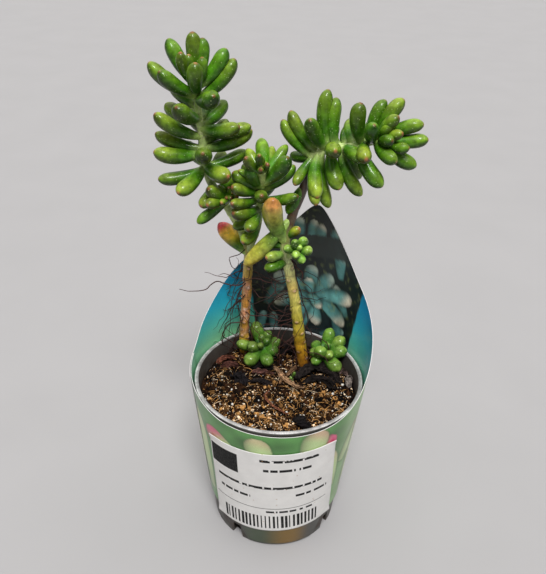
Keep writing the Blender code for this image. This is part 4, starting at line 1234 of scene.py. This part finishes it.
# Printed leaves of the outer face: (across from the front's middle, height, heading, length, width,
# blush)
OUTER_PRINT = (
    (-58, 30, 25, 40, 11, 0.2), (-70, 20, -30, 36, 10, 0.5), (-40, 24, -4, 50, 12, 0.15),
    (-12, 56, -56, 27, 13, 0.95), (-4, 58, -16, 21, 11, 0.3), (6, 57, 48, 26, 13, 1.0),
    (14, 60, 6, 22, 12, 0.45), (34, 50, 28, 24, 11, 0.7), (44, 26, 6, 52, 13, 0.1),
    (56, 8, -20, 34, 11, 0.0), (62, 40, 15, 36, 12, 0.3), (80, 26, -25, 34, 11, 0.7),
    (96, 20, 20, 40, 12, 0.2), (112, 60, -35, 44, 12, 0.8), (126, 24, 5, 42, 12, 0.1),
    (104, 84, 30, 34, 11, 0.5), (-84, 24, 10, 42, 12, 0.15), (-100, 30, -20, 40, 12, 0.8),
    (-112, 76, 25, 36, 11, 0.4), (-122, 20, 15, 40, 12, 0.1), (72, 44, -38, 24, 10, 0.6),
    (88, 54, 12, 26, 11, 0.9), (-48, 56, -48, 22, 10, 0.9), (-64, 60, 30, 24, 10, 0.3),
    (-90, 62, -12, 26, 10, 0.7), (30, 34, -12, 30, 10, 0.3), (100, 62, -8, 26, 11, 0.2),
    (118, 92, 5, 26, 10, 0.8), (-104, 58, 48, 26, 10, 0.5), (50, 64, 40, 22, 9, 0.8),
)

# Frosted leaves of the tag's picture: (across from its middle, height, heading, length, width, paleness)
INNER_PRINT = (
    (8, 82, 60, 16, 5, 0.2), (-4, 80, 15, 14, 5, 0.2), (-16, 78, -10, 13, 4.5, 0.3),
    (-24, 80, 5, 12, 4.5, 0.2), (20, 82, -20, 15, 5, 0.2), (-22, 96, 30, 16, 6.5, 0.4),
    (22, 98, -35, 16, 6.5, 0.5),
    (3, 103, 118, 21, 7.5, 0.9), (3, 104, 80, 22, 7.5, 1.0), (0, 103, 160, 17, 7, 0.9),
    (2, 103, -150, 18, 7, 0.6), (2, 104, -112, 21, 7.5, 0.8), (0, 105, -70, 20, 7.5, 0.5),
    (1, 105, 45, 15, 7, 0.4), (0, 105, 0, 14, 7, 0.5), (0, 103, 130, 9, 5, 1.0), (1, 104, -20, 8, 5, 0.9),
    (-19, 118, 12, 12, 5.5, 0.5), (16, 116, -8, 13, 6, 0.6), (-12, 132, -30, 9, 4.5, 0.7),
    (-7, 131, -8, 12, 5, 0.6), (-2, 131, 6, 11.5, 4.6, 0.75), (3, 131, 0, 9.5, 4.8, 0.9),
    (8, 130, 22, 11, 5, 0.8), (12, 129, 12, 6, 4.4, 1.0), (-14, 129, -44, 7, 4, 0.6),
)
BAND_TILT = -7
BAND_HALF = 5.6
BAND_MIDDLE = 129.0

# The inner picture's half width in degrees at a height, and how much wider it gets per millimetre
PICTURE_HALF = 38
PICTURE_LEVEL = 86
PICTURE_FLARE = 0.11

# Heights of the inner ground's shades, of the border between the outer print and its foot, and the
# height where the outer print's widths are true
SHADE_STOPS = (84, 92.5, 101, 114, 136)
FOOT_EDGE = (13.2, 14.4)
PRINT_LEVEL = 45


class SEDUM_OT_wrap(bpy.types.Operator):
    """Builds the printed wrap: one sheet that laps over itself at the left and rises to a tag"""
    bl_idname = "sedum.wrap"
    bl_label = "Printed wrap"

    # How fine the sheet is, where it starts, laps and lifts, in degrees, and its waves
    columns = 432
    rows = 114
    start = -100.0
    lapped = 22.0
    lift_from = 24
    lift_to = 2
    wave_height = 0.25
    wave_top = 120

    def execute(self, context):
        settings = context.scene.sedum_wrap
        turn = np.linspace(self.start, self.start + 360 + self.lapped, self.columns)[:, None]
        low, high = wrap_bottom(turn), wrap_top(turn)
        knee = np.clip(high, 0, POT_HEIGHT)
        share = ((knee - low) / (high - low)) ** 2
        row = np.concatenate((np.linspace(0, 0.997, self.rows - 2), (0.9988, 1.0)))[None]
        z = np.where(row < share, low + (knee - low) * row / share,
                     knee + (high - knee) * (row - share) / np.maximum(1 - share, 0.001))
        seam = self.start + 360
        lift = settings.lap / MM * ramp(turn, seam - self.lift_from, seam + self.lift_to)
        wave = self.wave_height * np.sin(np.radians(turn * 3 + 40)) * ramp(z, POT_HEIGHT, self.wave_top)
        radius = wrap_radius(z) + lift + wave
        out = compass(turn)
        up = z[..., None] * np.array((0, 0, 1))
        inner = radius[..., None] * out + up
        outer = (radius + settings.thickness / MM)[..., None] * out + up
        edge = (row == 1.0) * np.ones(z.shape)
        inner_colours = mix(self.inside_print(settings, turn, z), settings.edge, edge)
        outer_colours = mix(self.outside_print(settings, turn, z), settings.edge, edge)
        ends = np.zeros(z.shape)
        ends[-1] = 1
        inner_colours = mix(inner_colours, settings.edge, ends)
        outer_colours = mix(outer_colours, settings.edge, ends)
        part = sheet(inner, outer, inner_colours, outer_colours)
        assemble("printed_wrap", [part], printed_film(), ["wrap"])
        return {"FINISHED"}

    def outside_print(self, settings, turn, z):
        """Pale finger leaves with blushing ends on a green ground, and a dark foot that turns ochre."""
        around = (turn + 180) % 360 - 180
        x = np.radians(around) * wrap_radius(PRINT_LEVEL) + 0 * z
        cloud = relief(x, z, 14, 51) * 0.5 + relief(x, z, 5, 52) * 0.25
        colours = mix(np.array(settings.meadow) * 0.55, np.array(settings.meadow) * 1.35, 0.5 + cloud)
        left = ramp(-around, 45, 85) * ramp(around, -150, -100)
        right = ramp(around, 38, 60) * ramp(around, 130, 95)
        colours = mix(colours, linear(PRINT_GREY_GREEN), 0.75 * left)
        colours = mix(colours, linear(PRINT_LIGHT_GREEN), 0.5 * right)
        half = math.pi * wrap_radius(PRINT_LEVEL)
        for across, height, heading, length, width, blush in OUTER_PRINT:
            end = mix(np.array(settings.leaf) * 1.1, settings.blush, np.array(blush))
            beside = (x - across + half) % (2 * half) - half
            colours = painted_leaf(
                colours, beside, z, (0, height), heading, length, width, settings.leaf, end,
                np.array(settings.meadow) * 0.4,
            )
        foot = mix(linear(PRINT_FOOT_GREEN), linear(PRINT_FOOT_OCHRE), ramp(around, -12, 12))
        foot = mix(foot, linear(PRINT_FOOT_GREY), np.maximum(ramp(around, 16, 34), ramp(-around, 16, 34)))
        return mix(foot, colours, ramp(z, *FOOT_EDGE))

    def inside_print(self, settings, turn, z):
        """A blue ground that runs to mint at its foot, round a dark picture of frosted leaves with a
        plain band across it."""
        away = from_heading(turn, TAG_HEADING)
        x = -np.radians(away) * wrap_radius(z)
        fall = z + 6 * ramp(-away, 0, 60)
        shades = (settings.mint, settings.teal, settings.cyan, settings.azure, settings.navy)
        colours = read_off(fall, SHADE_STOPS, shades)
        border = PICTURE_HALF + PICTURE_FLARE * (z - PICTURE_LEVEL)
        picture = ramp(border - np.abs(away), -0.25, 0.25)
        cloud = relief(x, z, 9, 61) * 0.5
        slate = np.array(settings.slate)
        painted = mix(slate * 0.6, slate * 1.6, 0.5 + cloud)
        for across, height, heading, length, width, pale in INNER_PRINT:
            end = mix(settings.frost, linear(PRINT_CREAM), np.array(pale))
            flesh = np.array(settings.frost) * (0.55 + 0.45 * pale)
            painted = painted_leaf(
                painted, x, z, (across, height), heading, length, width, flesh, end, slate * 0.5,
            )
        mottle = relief(x, z, 2.2, 62) + 0.6 * relief(x, z, 0.9, 63)
        painted = painted * (1 + 0.28 * mottle)[..., None]
        moss = ramp(relief(x, z, 1.6, 64), 0.45, 0.9) * ramp(z, 90, 100)
        painted = mix(painted, linear(PRINT_MOSS), 0.35 * moss)
        tilt = math.radians(BAND_TILT)
        off = (z - BAND_MIDDLE) * math.cos(tilt) + x * math.sin(tilt)
        painted = mix(painted, settings.band, 0.97 * ramp(BAND_HALF - np.abs(off), -0.2, 0.2))
        return mix(colours, painted, picture)


def label_point(across, up, lift):
    """Points of the label's sheet: millimetres from its middle, turned a little and wrapped round."""
    turn = math.radians(LABEL_TURN)
    along = across * math.cos(turn) - up * math.sin(turn)
    height = LABEL_MIDDLE + across * math.sin(turn) + up * math.cos(turn)
    out = compass(LABEL_HEADING + np.degrees(along / wrap_radius(height)))
    return (wrap_radius(height) + lift)[..., None] * out + height[..., None] * np.array((0, 0, 1))


class SEDUM_OT_label(bpy.types.Operator):
    """Builds the paper label, stuck to the wrap with slightly lifted corners"""
    bl_idname = "sedum.label"
    bl_label = "Paper label"

    # How fine the sheet is
    columns = 121
    rows = 109

    def execute(self, context):
        settings = context.scene.sedum_label
        width, height = settings.width / MM, settings.height / MM
        u = np.linspace(0, 1, self.columns)[:, None] + np.zeros((1, self.rows))
        v = np.linspace(0, 1, self.rows)[None] + np.zeros((self.columns, 1))
        across, up = (u - 0.5) * width, (v - 0.5) * height
        corner = ramp(np.abs(u - 0.5) * 2, 0.86, 1.0) * ramp(np.abs(v - 0.5) * 2, 0.86, 1.0)
        lift = 0.62 + 0.10 * relief(across, up, 14, 71) + 0.45 * corner
        thick = settings.thickness / MM
        inner, outer = label_point(across, up, lift), label_point(across, up, lift + thick)
        plain = np.ones((*u.shape, 3))
        part = sheet(inner, outer, plain, plain)
        where = np.stack((u, v), -1)
        uv = np.concatenate((where, where[:, ::-1]), axis=1).reshape(-1, 2)
        assemble("paper_label", [part], label_paper(settings), ["label"], uv=uv)
        return {"FINISHED"}


# The small point that ends each leaf
LEAF_POINT = 0.4
LEAF_COLOURS = ("body", "deep", "sun", "base", "tip", "ochre", "red", "stalk")
LEAF_SIDES = 28
LEAF_BODY = np.linspace(0, WIDEST, 15)[:-1]
LEAF_END = WIDEST + (1 - WIDEST) * np.sin(np.linspace(0, 0.47, 11) * math.pi)
LEAF_PLACES = np.concatenate((LEAF_BODY, LEAF_END))


def club(places, blunt):
    """A leaf's radius at shares of its length, as a share of its widest radius."""
    rising = ROOT_SHARE + (1 - ROOT_SHARE) * np.sin(np.minimum(places / WIDEST, 1) * math.pi / 2)
    past = np.clip((places - WIDEST) / (1 - WIDEST), 0, 1)
    return rising * np.sqrt(np.clip(1 - past ** blunt, 0, 1))


def leaf_colours(palette, draw, share, facing, reach, yellow=0.0, red=0.0, pale=0.0):
    """Colours over a leaf: painted shade where it faces down and green above, from a pale base to a
    yellow-green end, painted lighter where it faces up, flushed yellow and red as far as it is old,
    with a red-brown spot near its point. Share is how far along the leaf each place is, facing how
    far it faces up, and reach its distance to the point."""
    tone = draw.uniform(0.80, 1.22) + 0.27 * (yellow > 0)
    lean = draw.uniform(0, 1)
    # Painted shade: the underside colour where the leaf faces down
    colours = mix(palette["deep"], palette["body"], ramp(facing, -0.8, 0.45))
    # Partly real, partly painted light: the yellow-green end is laid mostly where the leaf faces up
    yellow_and_lit_share = (0.25 + 0.6 * lean) * ramp(share, 0.4, 0.95) * ramp(facing, -0.4, 0.9)
    colours = mix(colours, palette["sun"], yellow_and_lit_share)
    colours = mix(palette["base"], colours, (1 - pale) * ramp(share, 0.0, 0.32))
    flush = (yellow + 0.06 * lean) * ramp(share + 0.12 * facing, 0.3, 0.85)
    colours = mix(colours, palette["ochre"], flush)
    colours = mix(colours, palette["red"], red * ramp(share + 0.05 * facing, 0.76, 0.95))
    spot = ramp(reach, 1.0 + 0.4 * lean, 0.3)
    return mix(colours, palette["tip"], (0.45 + 0.45 * lean) * spot) * tone


def leaf(root, towards, way, length, width, palette, draw, bend=BOW, blunt=BLUNT, swing=0.0, **flush):
    """A leaf: a club along its way that bows from the stem's tip and a little sideways, flatter on
    its upper side, with a small point at its end."""
    length = length - LEAF_POINT
    inward = unit(towards - towards.dot(way) * way)
    sideways = np.cross(way, inward)
    t = LEAF_PLACES[:, None]
    bow = 4 * t * (1 - t)
    swing = (swing + draw.uniform(-0.035, 0.035)) * length
    route = root + length * (t * way - bend * bow * inward) + swing * bow * sideways
    out, turns = rings_round(route, inward, LEAF_SIDES)
    half = width / 2 * club(t, blunt)
    lobes = 1 + 0.022 * np.sin(2 * turns + draw.uniform(0, 6)) * np.sin(math.pi * t)
    lobes = lobes * (1 + 0.012 * np.sin(9 * t + draw.uniform(0, 6) + turns))
    flat = 1 - 0.09 * np.clip(-np.sin(turns), 0, 1) ** 2
    point = 0.03 * width * bell(1 - t, 0.02)
    grid = (route + point * way)[:, None] + out * (half * lobes * flat)[..., None]
    tip = root + way * (length + 0.035 * width)
    facing = out[..., 2]
    share = t + 0 * facing
    reach = np.hypot((1 - share) * length, half)
    colours = leaf_colours(palette, draw, share, facing, reach, **flush)
    return tube(grid, route[0], tip, colours, tip_colour=colours[-1].mean(axis=0))


def far_leaves(name):
    """The leaves of a shoot's far side, spread by golden-ratio steps."""
    if name not in FAR_SIDE:
        return []
    number, first, last, middle, spread_half = FAR_SIDE[name]
    made = []
    for k in range(number):
        place = first + (last - first) * k / (number - 1)
        heading = middle + spread_half * (2 * math.fmod(GOLDEN * (k + 1), 1) - 1)
        made.append((place, heading, FAR_RISE, FAR_LENGTH, FAR_WIDTH))
    return made


def leaves_on(name, points, palette, draw):
    """Every leaf of a stem, and where each leaves it as (place, way)."""
    total = length_of(points)
    habits = HABITS.get(name, ())
    made, seats = [], []
    for k, (place, heading, rise, length, width) in enumerate((*LEAVES[name], *far_leaves(name))):
        place = min(place, total)
        before, root = through(points, [max(place - 3, 0), place])
        way = compass(heading, rise)
        habit = habits[k] if k < len(habits) else {}
        if name in ("left_stem", "right_stem"):
            habit = {"bend": OLD_BOW, "blunt": OLD_BLUNT, **habit}
        fresh = 1 + 0.12 * ramp(place, total - 7, total)
        tints = {key: np.array(colour) * fresh for key, colour in palette.items()}
        made.append(leaf(root, unit(root - before), way, length, width, tints, draw, **habit))
        seats.append((place, way))
    return made, seats


def buds_on(points, number, length, palette, draw):
    """Small leaves round a shoot's tip, leaning out from the stem's own way by golden-ratio steps."""
    total = length_of(points)
    before, root = through(points, [total - 2, total])
    way = unit(root - before)
    side = unit(np.cross(way, (0.3, 0.2, 1)))
    top = np.cross(way, side)
    made = []
    for k in range(number):
        turn = 2 * math.pi * GOLDEN * k
        lean = 0.25 + 0.12 * k
        aim = unit(way + lean * (math.cos(turn) * side + math.sin(turn) * top))
        made.append(leaf(root, way, aim, length * (0.7 + 0.12 * k), 0.42 * length, palette, draw))
    return made


def green_stem(points, radii, seats, palette, draw):
    """A stem's skin along its route: it swells under each leaf and carries rings of old scars."""
    total = length_of(points)
    places = np.linspace(0, total, max(8, round(total / GREEN_STEP)))
    centres = through(points, places)
    out, turns = rings_round(centres, (0, 1, 0), GREEN_SIDES)
    along = places[:, None]
    radius = np.interp(places, (0, total), radii)[:, None] + 0.06 * relief(along, turns, 2.0, 81)
    for place, way in seats:
        near = bell(along - place, 1.5) * np.exp((out @ way - 1) / 0.35)
        radius = radius + 0.35 * near
    rings = np.zeros(radius.shape)
    for place in draw.uniform(0, total, max(2, round(total / 4))):
        side = draw.uniform(0, 2 * math.pi)
        rings = np.maximum(rings, bell(along - place, 0.5) * ramp(np.cos(turns - side), 0.2, 0.8))
    radius = radius + 0.10 * rings
    grid = centres[:, None] + out * radius[..., None]
    tone = 1 + 0.10 * relief(along, turns * 2, 3.0, 82)
    colours = mix(palette["stalk"], palette["body"], 0.15 + 0.2 * relief(along, turns, 6.0, 83))
    colours = mix(colours, linear(SCAR_CREAM), 0.6 * rings) * tone[..., None]
    return tube(grid, centres[0], centres[-1], colours)


def old_palette(settings):
    """The colours of grown leaves."""
    return {key: getattr(settings, key) for key in LEAF_COLOURS}


def young_palette(settings):
    """The colours of young leaves: their own greens, and no red-brown point."""
    fresh = {
        "body": settings.young, "deep": settings.young_shaded_underside, "sun": settings.young_lit_end,
        "base": linear(YOUNG_BASE), "tip": settings.young_lit_end,
    }
    return {**old_palette(settings), **fresh}


class SEDUM_OT_shoots(bpy.types.Operator):
    """Builds the leafy shoots, each a green stem with its finger leaves"""
    bl_idname = "sedum.shoots"
    bl_label = "Leafy shoots"

    def execute(self, context):
        palette = old_palette(context.scene.sedum_leaf)
        skin = leaf_skin("waxy leaf", 0.40)
        for k, name in enumerate(("left_shoot", "middle_shoot", "side_shoot", "right_shoot")):
            points, radii = SHOOTS[name]
            draw = np.random.default_rng(SHOOT_SEED + k)
            leaves, seats = leaves_on(name, points, palette, draw)
            parts = [green_stem(points, radii, seats, palette, draw), *leaves]
            parts += buds_on(points, BUDS[name], BUD_LENGTH, palette, draw)
            if name == "left_shoot":
                parts.append(green_stem(SIDE_FORK, TWIG_RADII, [], palette, draw))
            assemble(name + "_leaves", parts, skin, [name])
        return {"FINISHED"}


class SEDUM_OT_rosettes(bpy.types.Operator):
    """Builds the young rosettes and the sprout, in fresher green"""
    bl_idname = "sedum.rosettes"
    bl_label = "Young rosettes"

    def execute(self, context):
        fresh = young_palette(context.scene.sedum_leaf)
        skin = leaf_skin("fresh waxy leaf", 0.28)
        for k, name in enumerate(("stem_rosette", "left_rosette", "right_rosette", "sprout")):
            points, radii = SHOOTS[name]
            palette = {key: np.array(colour) * YOUNG_LEVELS[name] for key, colour in fresh.items()}
            draw = np.random.default_rng(ROSETTE_SEED + k)
            leaves, seats = leaves_on(name, points, palette, draw)
            parts = [green_stem(points, radii, seats, palette, draw), *leaves]
            parts += buds_on(points, BUDS[name], YOUNG_BUD_LENGTH, palette, draw)
            assemble(name + "_leaves", parts, skin, [name])
        return {"FINISHED"}


def woody_stem(points, radii, knots, zones, peels, settings, seed):
    """A woody stem: knots where leaves have dropped, rings of old scars, and skin whose colour runs
    along it by zones, with peeling bark from place to place as peels says."""
    total = length_of(points)
    places = np.linspace(0, total, round(total / WOODY_STEP))
    centres = through(points, places)
    out, turns = rings_round(centres, (0, 1, 0), WOODY_SIDES)
    along = places[:, None]
    draw = np.random.default_rng(seed)
    radius = np.interp(places, (0, total), radii)[:, None] + 0.16 * relief(along, turns * 2, 3.5, seed)
    radius = radius + 0.05 * relief(along * 0.4, turns * 3, 0.7, seed + 1)
    knot = np.zeros((len(places), len(turns)))
    for place, heading in knots:
        near = np.exp((out @ compass(heading) - 1) / 0.10)
        knot = np.maximum(knot, bell(along - place, 0.95) * near)
    rings = np.zeros(knot.shape)
    for place in draw.uniform(6, total, round(total / 3)):
        side = draw.uniform(0, 2 * math.pi)
        slant = 0.5 * np.cos(turns - side + 1.3)
        rings = np.maximum(rings, bell(along - place - slant, 0.35) * ramp(np.cos(turns - side), -0.3, 0.5))
    radius = radius + settings.knot / MM * knot - 0.10 * rings
    grid = centres[:, None] + out * radius[..., None]
    spots, codes = zip(*zones)
    colours = read_off(places, spots, [linear(code) for code in codes])[:, None]
    colours = colours * (1 + 0.16 * relief(along, turns * 2, 2.2, seed + 2))[..., None]
    for start, end in peels:
        peel = ramp(relief(along * 0.7, turns * 1.7, 2.6, seed + 3), -0.25, 0.15)
        peel = peel * ramp(along, start - 6, start) * ramp(along, end + 6, end)
        colours = mix(colours, settings.rust, 0.85 * peel)
        papery = ramp(relief(along, turns * 3, 1.2, seed + 4), 0.2, 0.7)
        colours = mix(colours, linear(PAPERY_PINK), 0.75 * peel * papery)
    colours = mix(colours, settings.scar, 0.85 * ramp(knot, 0.45, 0.9))
    colours = mix(colours, linear(SCAR_BROWN), 0.6 * bell(knot - 0.3, 0.16) + 0.45 * rings)
    return tube(grid, centres[0], centres[-1], colours)


# Where the left stem's bark peels, and the skin along each woody stem: (place, colour)
LEFT_PEELS = ((27, 60),)
LEFT_ZONES = (
    (0, "#744a1c"), (12, "#d0942a"), (20, "#d8b03a"), (30, "#e0a044"), (42, "#e8a44c"), (52, "#d8a044"),
    (60, "#c4a648"), (68, "#ada24c"), (80, "#93a048"),
)
RIGHT_ZONES = (
    (0, "#553314"), (11, "#8c561a"), (18, "#c08622"), (28, "#cda22a"), (40, "#cbbc42"), (52, "#dcd266"),
    (60, "#e0c66a"), (66, "#e0dc86"), (74, "#d0dc98"), (84, "#8f9450"), (92, "#4e4030"), (116, "#40352a"),
)


class SEDUM_OT_stems(bpy.types.Operator):
    """Builds the two woody stems, with their knots, forks and own leaves"""
    bl_idname = "sedum.stems"
    bl_label = "Woody stems"

    def execute(self, context):
        settings = context.scene.sedum_stem
        palette = old_palette(context.scene.sedum_leaf)
        bark, skin = stem_bark("thin bark"), leaf_skin("old waxy leaf", 0.36)
        draw = np.random.default_rng(FORK_SEED)
        left = woody_stem(LEFT_STEM, LEFT_RADII, LEFT_KNOTS, LEFT_ZONES, LEFT_PEELS, settings, LEFT_BARK_SEED)
        right = woody_stem(RIGHT_STEM, RIGHT_RADII, RIGHT_KNOTS, RIGHT_ZONES, (), settings, RIGHT_BARK_SEED)
        left_fork = green_stem(LEFT_FORK, FORK_RADII, [], palette, draw)
        right_fork = green_stem(ROSETTE_FORK, TWIG_RADII, [], palette, draw)
        for name, points, wood, fork, slot in (
            ("left_stem", LEFT_STEM, left, left_fork, "red_bark"),
            ("right_stem", RIGHT_STEM, right, right_fork, "olive_bark"),
        ):
            leaves, _ = leaves_on(name, points, palette, draw)
            assemble(name + "_wood", [wood, fork], bark, [name])
            assemble(name + "_leaves", leaves, skin, [name])
        return {"FINISHED"}


class SEDUM_OT_roots(bpy.types.Operator):
    """Hangs fine aerial roots on the woody stems"""
    bl_idname = "sedum.roots"
    bl_label = "Aerial roots"

    def execute(self, context):
        settings = context.scene.sedum_stem
        draw = np.random.default_rng(ROOT_SEED)
        parts = [self.root(np.array(points, float), width, settings, draw) for points, width in ROOTS]
        for k in range(settings.hairs):
            points = LEFT_STEM if k % 2 else RIGHT_STEM
            parts.append(self.root(self.wander(points, draw), draw.uniform(0.28, 0.50), settings, draw))
        assemble("aerial_roots", parts, root_skin())
        return {"FINISHED"}

    def wander(self, points, draw):
        """A root's route: out from the stem, with a heading and a rise that drift by a smoothed
        random walk, and sinking as it goes."""
        start = through(points, [draw.uniform(14, 68)])[0]
        number = draw.integers(7, 16)
        drift = np.cumsum(draw.normal(0, 26, (2, number)), axis=1)
        heading = draw.uniform(40, 160) * (1 if draw.uniform() > 0.62 else -1) + drift[0]
        rise = np.clip(-25 + 0.6 * drift[1], -75, 35)
        steps = compass(heading, rise) * draw.uniform(1.3, 2.6)
        return start + np.vstack(((0, 0, 0), np.cumsum(steps, axis=0)))

    def root(self, points, width, settings, draw):
        """A thin five-sided tube along a route, thinning to its tip and kept inside the pot and the
        wrap where they stand as high."""
        total = length_of(points)
        places = np.linspace(0, total, max(6, round(total / ROOT_STEP)))
        centres = through(points, places)
        wobble = 0.12 * relief(places, draw.uniform(0, 50), 1.6, 91)
        centres = centres + wobble[:, None] * np.array((0.6, 0.5, 0.6))
        height = centres[:, 2]
        heading = np.degrees(np.arctan2(centres[:, 0], -centres[:, 1]))
        room = np.where(height < wrap_top(heading) + 1.5, wrap_radius(height) - 0.9, 99)
        room = np.where(height < POT_HEIGHT + 0.6, wall_radius(height) - POT_WALL - 0.6, room)
        centres[:, :2] *= np.minimum(1, room / np.hypot(centres[:, 0], centres[:, 1]))[:, None]
        across = np.eye(3)[np.argmin(np.abs(centres[-1] - centres[0]))]
        out, _ = rings_round(centres, across, ROOT_SIDES)
        radius = width / 2 * np.interp(places, (0, total * 0.6, total), (1.0, 0.85, 0.4))
        grid = centres[:, None] + out * radius[:, None, None]
        tone = draw.uniform(0.4, 1.5)
        colours = np.array(settings.root) * tone * np.ones(grid.shape)
        return tube(grid, centres[0], centres[-1], colours)


class SEDUM_OT_studio(bpy.types.Operator):
    """Sets up the pale floor, the soft lights and the camera"""
    bl_idname = "sedum.studio"
    bl_label = "Studio"

    # Half the floor's width, in metres, and the strength of the room's even light
    floor_half = 3.0
    room_light = 0.135
    # Each softbox: name, the way to it, how wide it looks in degrees, strength
    softboxes = (
        ("softbox_key", (0.05, -0.50, 0.86), 20, 2.85),
        ("softbox_top", (0.0, 0.30, 0.94), 110, 1.75),
    )

    def execute(self, context):
        settings = context.scene.sedum_studio
        mesh = bpy.data.meshes.new("floor")
        corners = np.array(((-1, -1, 0), (1, -1, 0), (1, 1, 0), (-1, 1, 0))) * self.floor_half
        mesh.from_pydata(corners.tolist(), [], [(0, 1, 2, 3)])
        mesh.materials.append(matt_paper(settings))
        floor = bpy.data.objects.new("floor", mesh)
        context.scene.collection.objects.link(floor)
        for name, towards, spread, strength in self.softboxes:
            self.light(name, towards, spread, strength)
        world = bpy.data.worlds.new("studio")
        world.use_nodes = True
        room = world.node_tree.nodes["Background"].inputs
        room["Color"].default_value = (1.0, 0.99, 0.985, 1)
        room["Strength"].default_value = self.room_light
        context.scene.world = world
        context.scene.view_settings.view_transform = "Standard"
        self.aim_camera(context, settings)
        return {"FINISHED"}

    def light(self, name, towards, spread, strength):
        """A far softbox: a sun lamp whose disc is as wide as the softbox looks, in degrees, so that
        the floor is lit evenly."""
        lamp = bpy.data.lights.new(name, "SUN")
        lamp.angle = math.radians(spread)
        lamp.energy = strength
        thing = bpy.data.objects.new(name, lamp)
        back = unit(np.array(towards))
        right = unit(np.cross((0, 1, 0), back))
        up = np.cross(back, right)
        thing.matrix_world = Matrix(np.stack((right, up, back), -1).tolist()).to_4x4()
        bpy.context.scene.collection.objects.link(thing)

    def aim_camera(self, context, settings):
        """The photograph's camera: pitched down and leaning a little."""
        ahead = np.array((0, math.cos(settings.pitch), -math.sin(settings.pitch)))
        level = np.array((1.0, 0, 0))
        above = np.cross(level, ahead)
        right = math.cos(settings.roll) * level + math.sin(settings.roll) * above
        up = math.cos(settings.roll) * above - math.sin(settings.roll) * level
        data = bpy.data.cameras.new("camera")
        data.lens = settings.lens
        data.clip_start = 0.01
        camera = bpy.data.objects.new("camera", data)
        turn = Matrix(np.stack((right, up, -ahead), -1).tolist()).to_4x4()
        camera.matrix_world = Matrix.Translation(tuple(settings.camera)) @ turn
        context.scene.collection.objects.link(camera)
        context.scene.camera = camera


STEPS = (
    SEDUM_OT_pot, SEDUM_OT_soil, SEDUM_OT_crumbs, SEDUM_OT_bark, SEDUM_OT_wrap, SEDUM_OT_label,
    SEDUM_OT_stems, SEDUM_OT_shoots, SEDUM_OT_rosettes, SEDUM_OT_roots, SEDUM_OT_studio,
)


class VIEW3D_PT_sedum(bpy.types.Panel):
    """Lists the settings and the pieces"""
    bl_label = "Potted Sedum"
    bl_space_type = "VIEW_3D"
    bl_region_type = "UI"
    bl_category = "Sedum"

    def draw(self, context):
        for name, group in SETTINGS.items():
            box = self.layout.box()
            box.label(text=name.removeprefix("sedum_").capitalize())
            for key in group.__annotations__:
                box.prop(getattr(context.scene, name), key)
        for step in STEPS:
            self.layout.operator(step.bl_idname)


def register():
    for name, group in SETTINGS.items():
        bpy.utils.register_class(group)
        setattr(bpy.types.Scene, name, bpy.props.PointerProperty(type=group))
    for kind in (*STEPS, VIEW3D_PT_sedum):
        bpy.utils.register_class(kind)


def unregister():
    for kind in reversed((*STEPS, VIEW3D_PT_sedum)):
        bpy.utils.unregister_class(kind)
    for name, group in reversed(SETTINGS.items()):
        delattr(bpy.types.Scene, name)
        bpy.utils.unregister_class(group)


def main():
    register()
    bpy.ops.sedum.pot()
    bpy.ops.sedum.soil()
    bpy.ops.sedum.crumbs()
    bpy.ops.sedum.bark()
    bpy.ops.sedum.wrap()
    bpy.ops.sedum.label()
    bpy.ops.sedum.stems()
    bpy.ops.sedum.shoots()
    bpy.ops.sedum.rosettes()
    bpy.ops.sedum.roots()
    bpy.ops.sedum.studio()


if __name__ == "__main__":
    main()
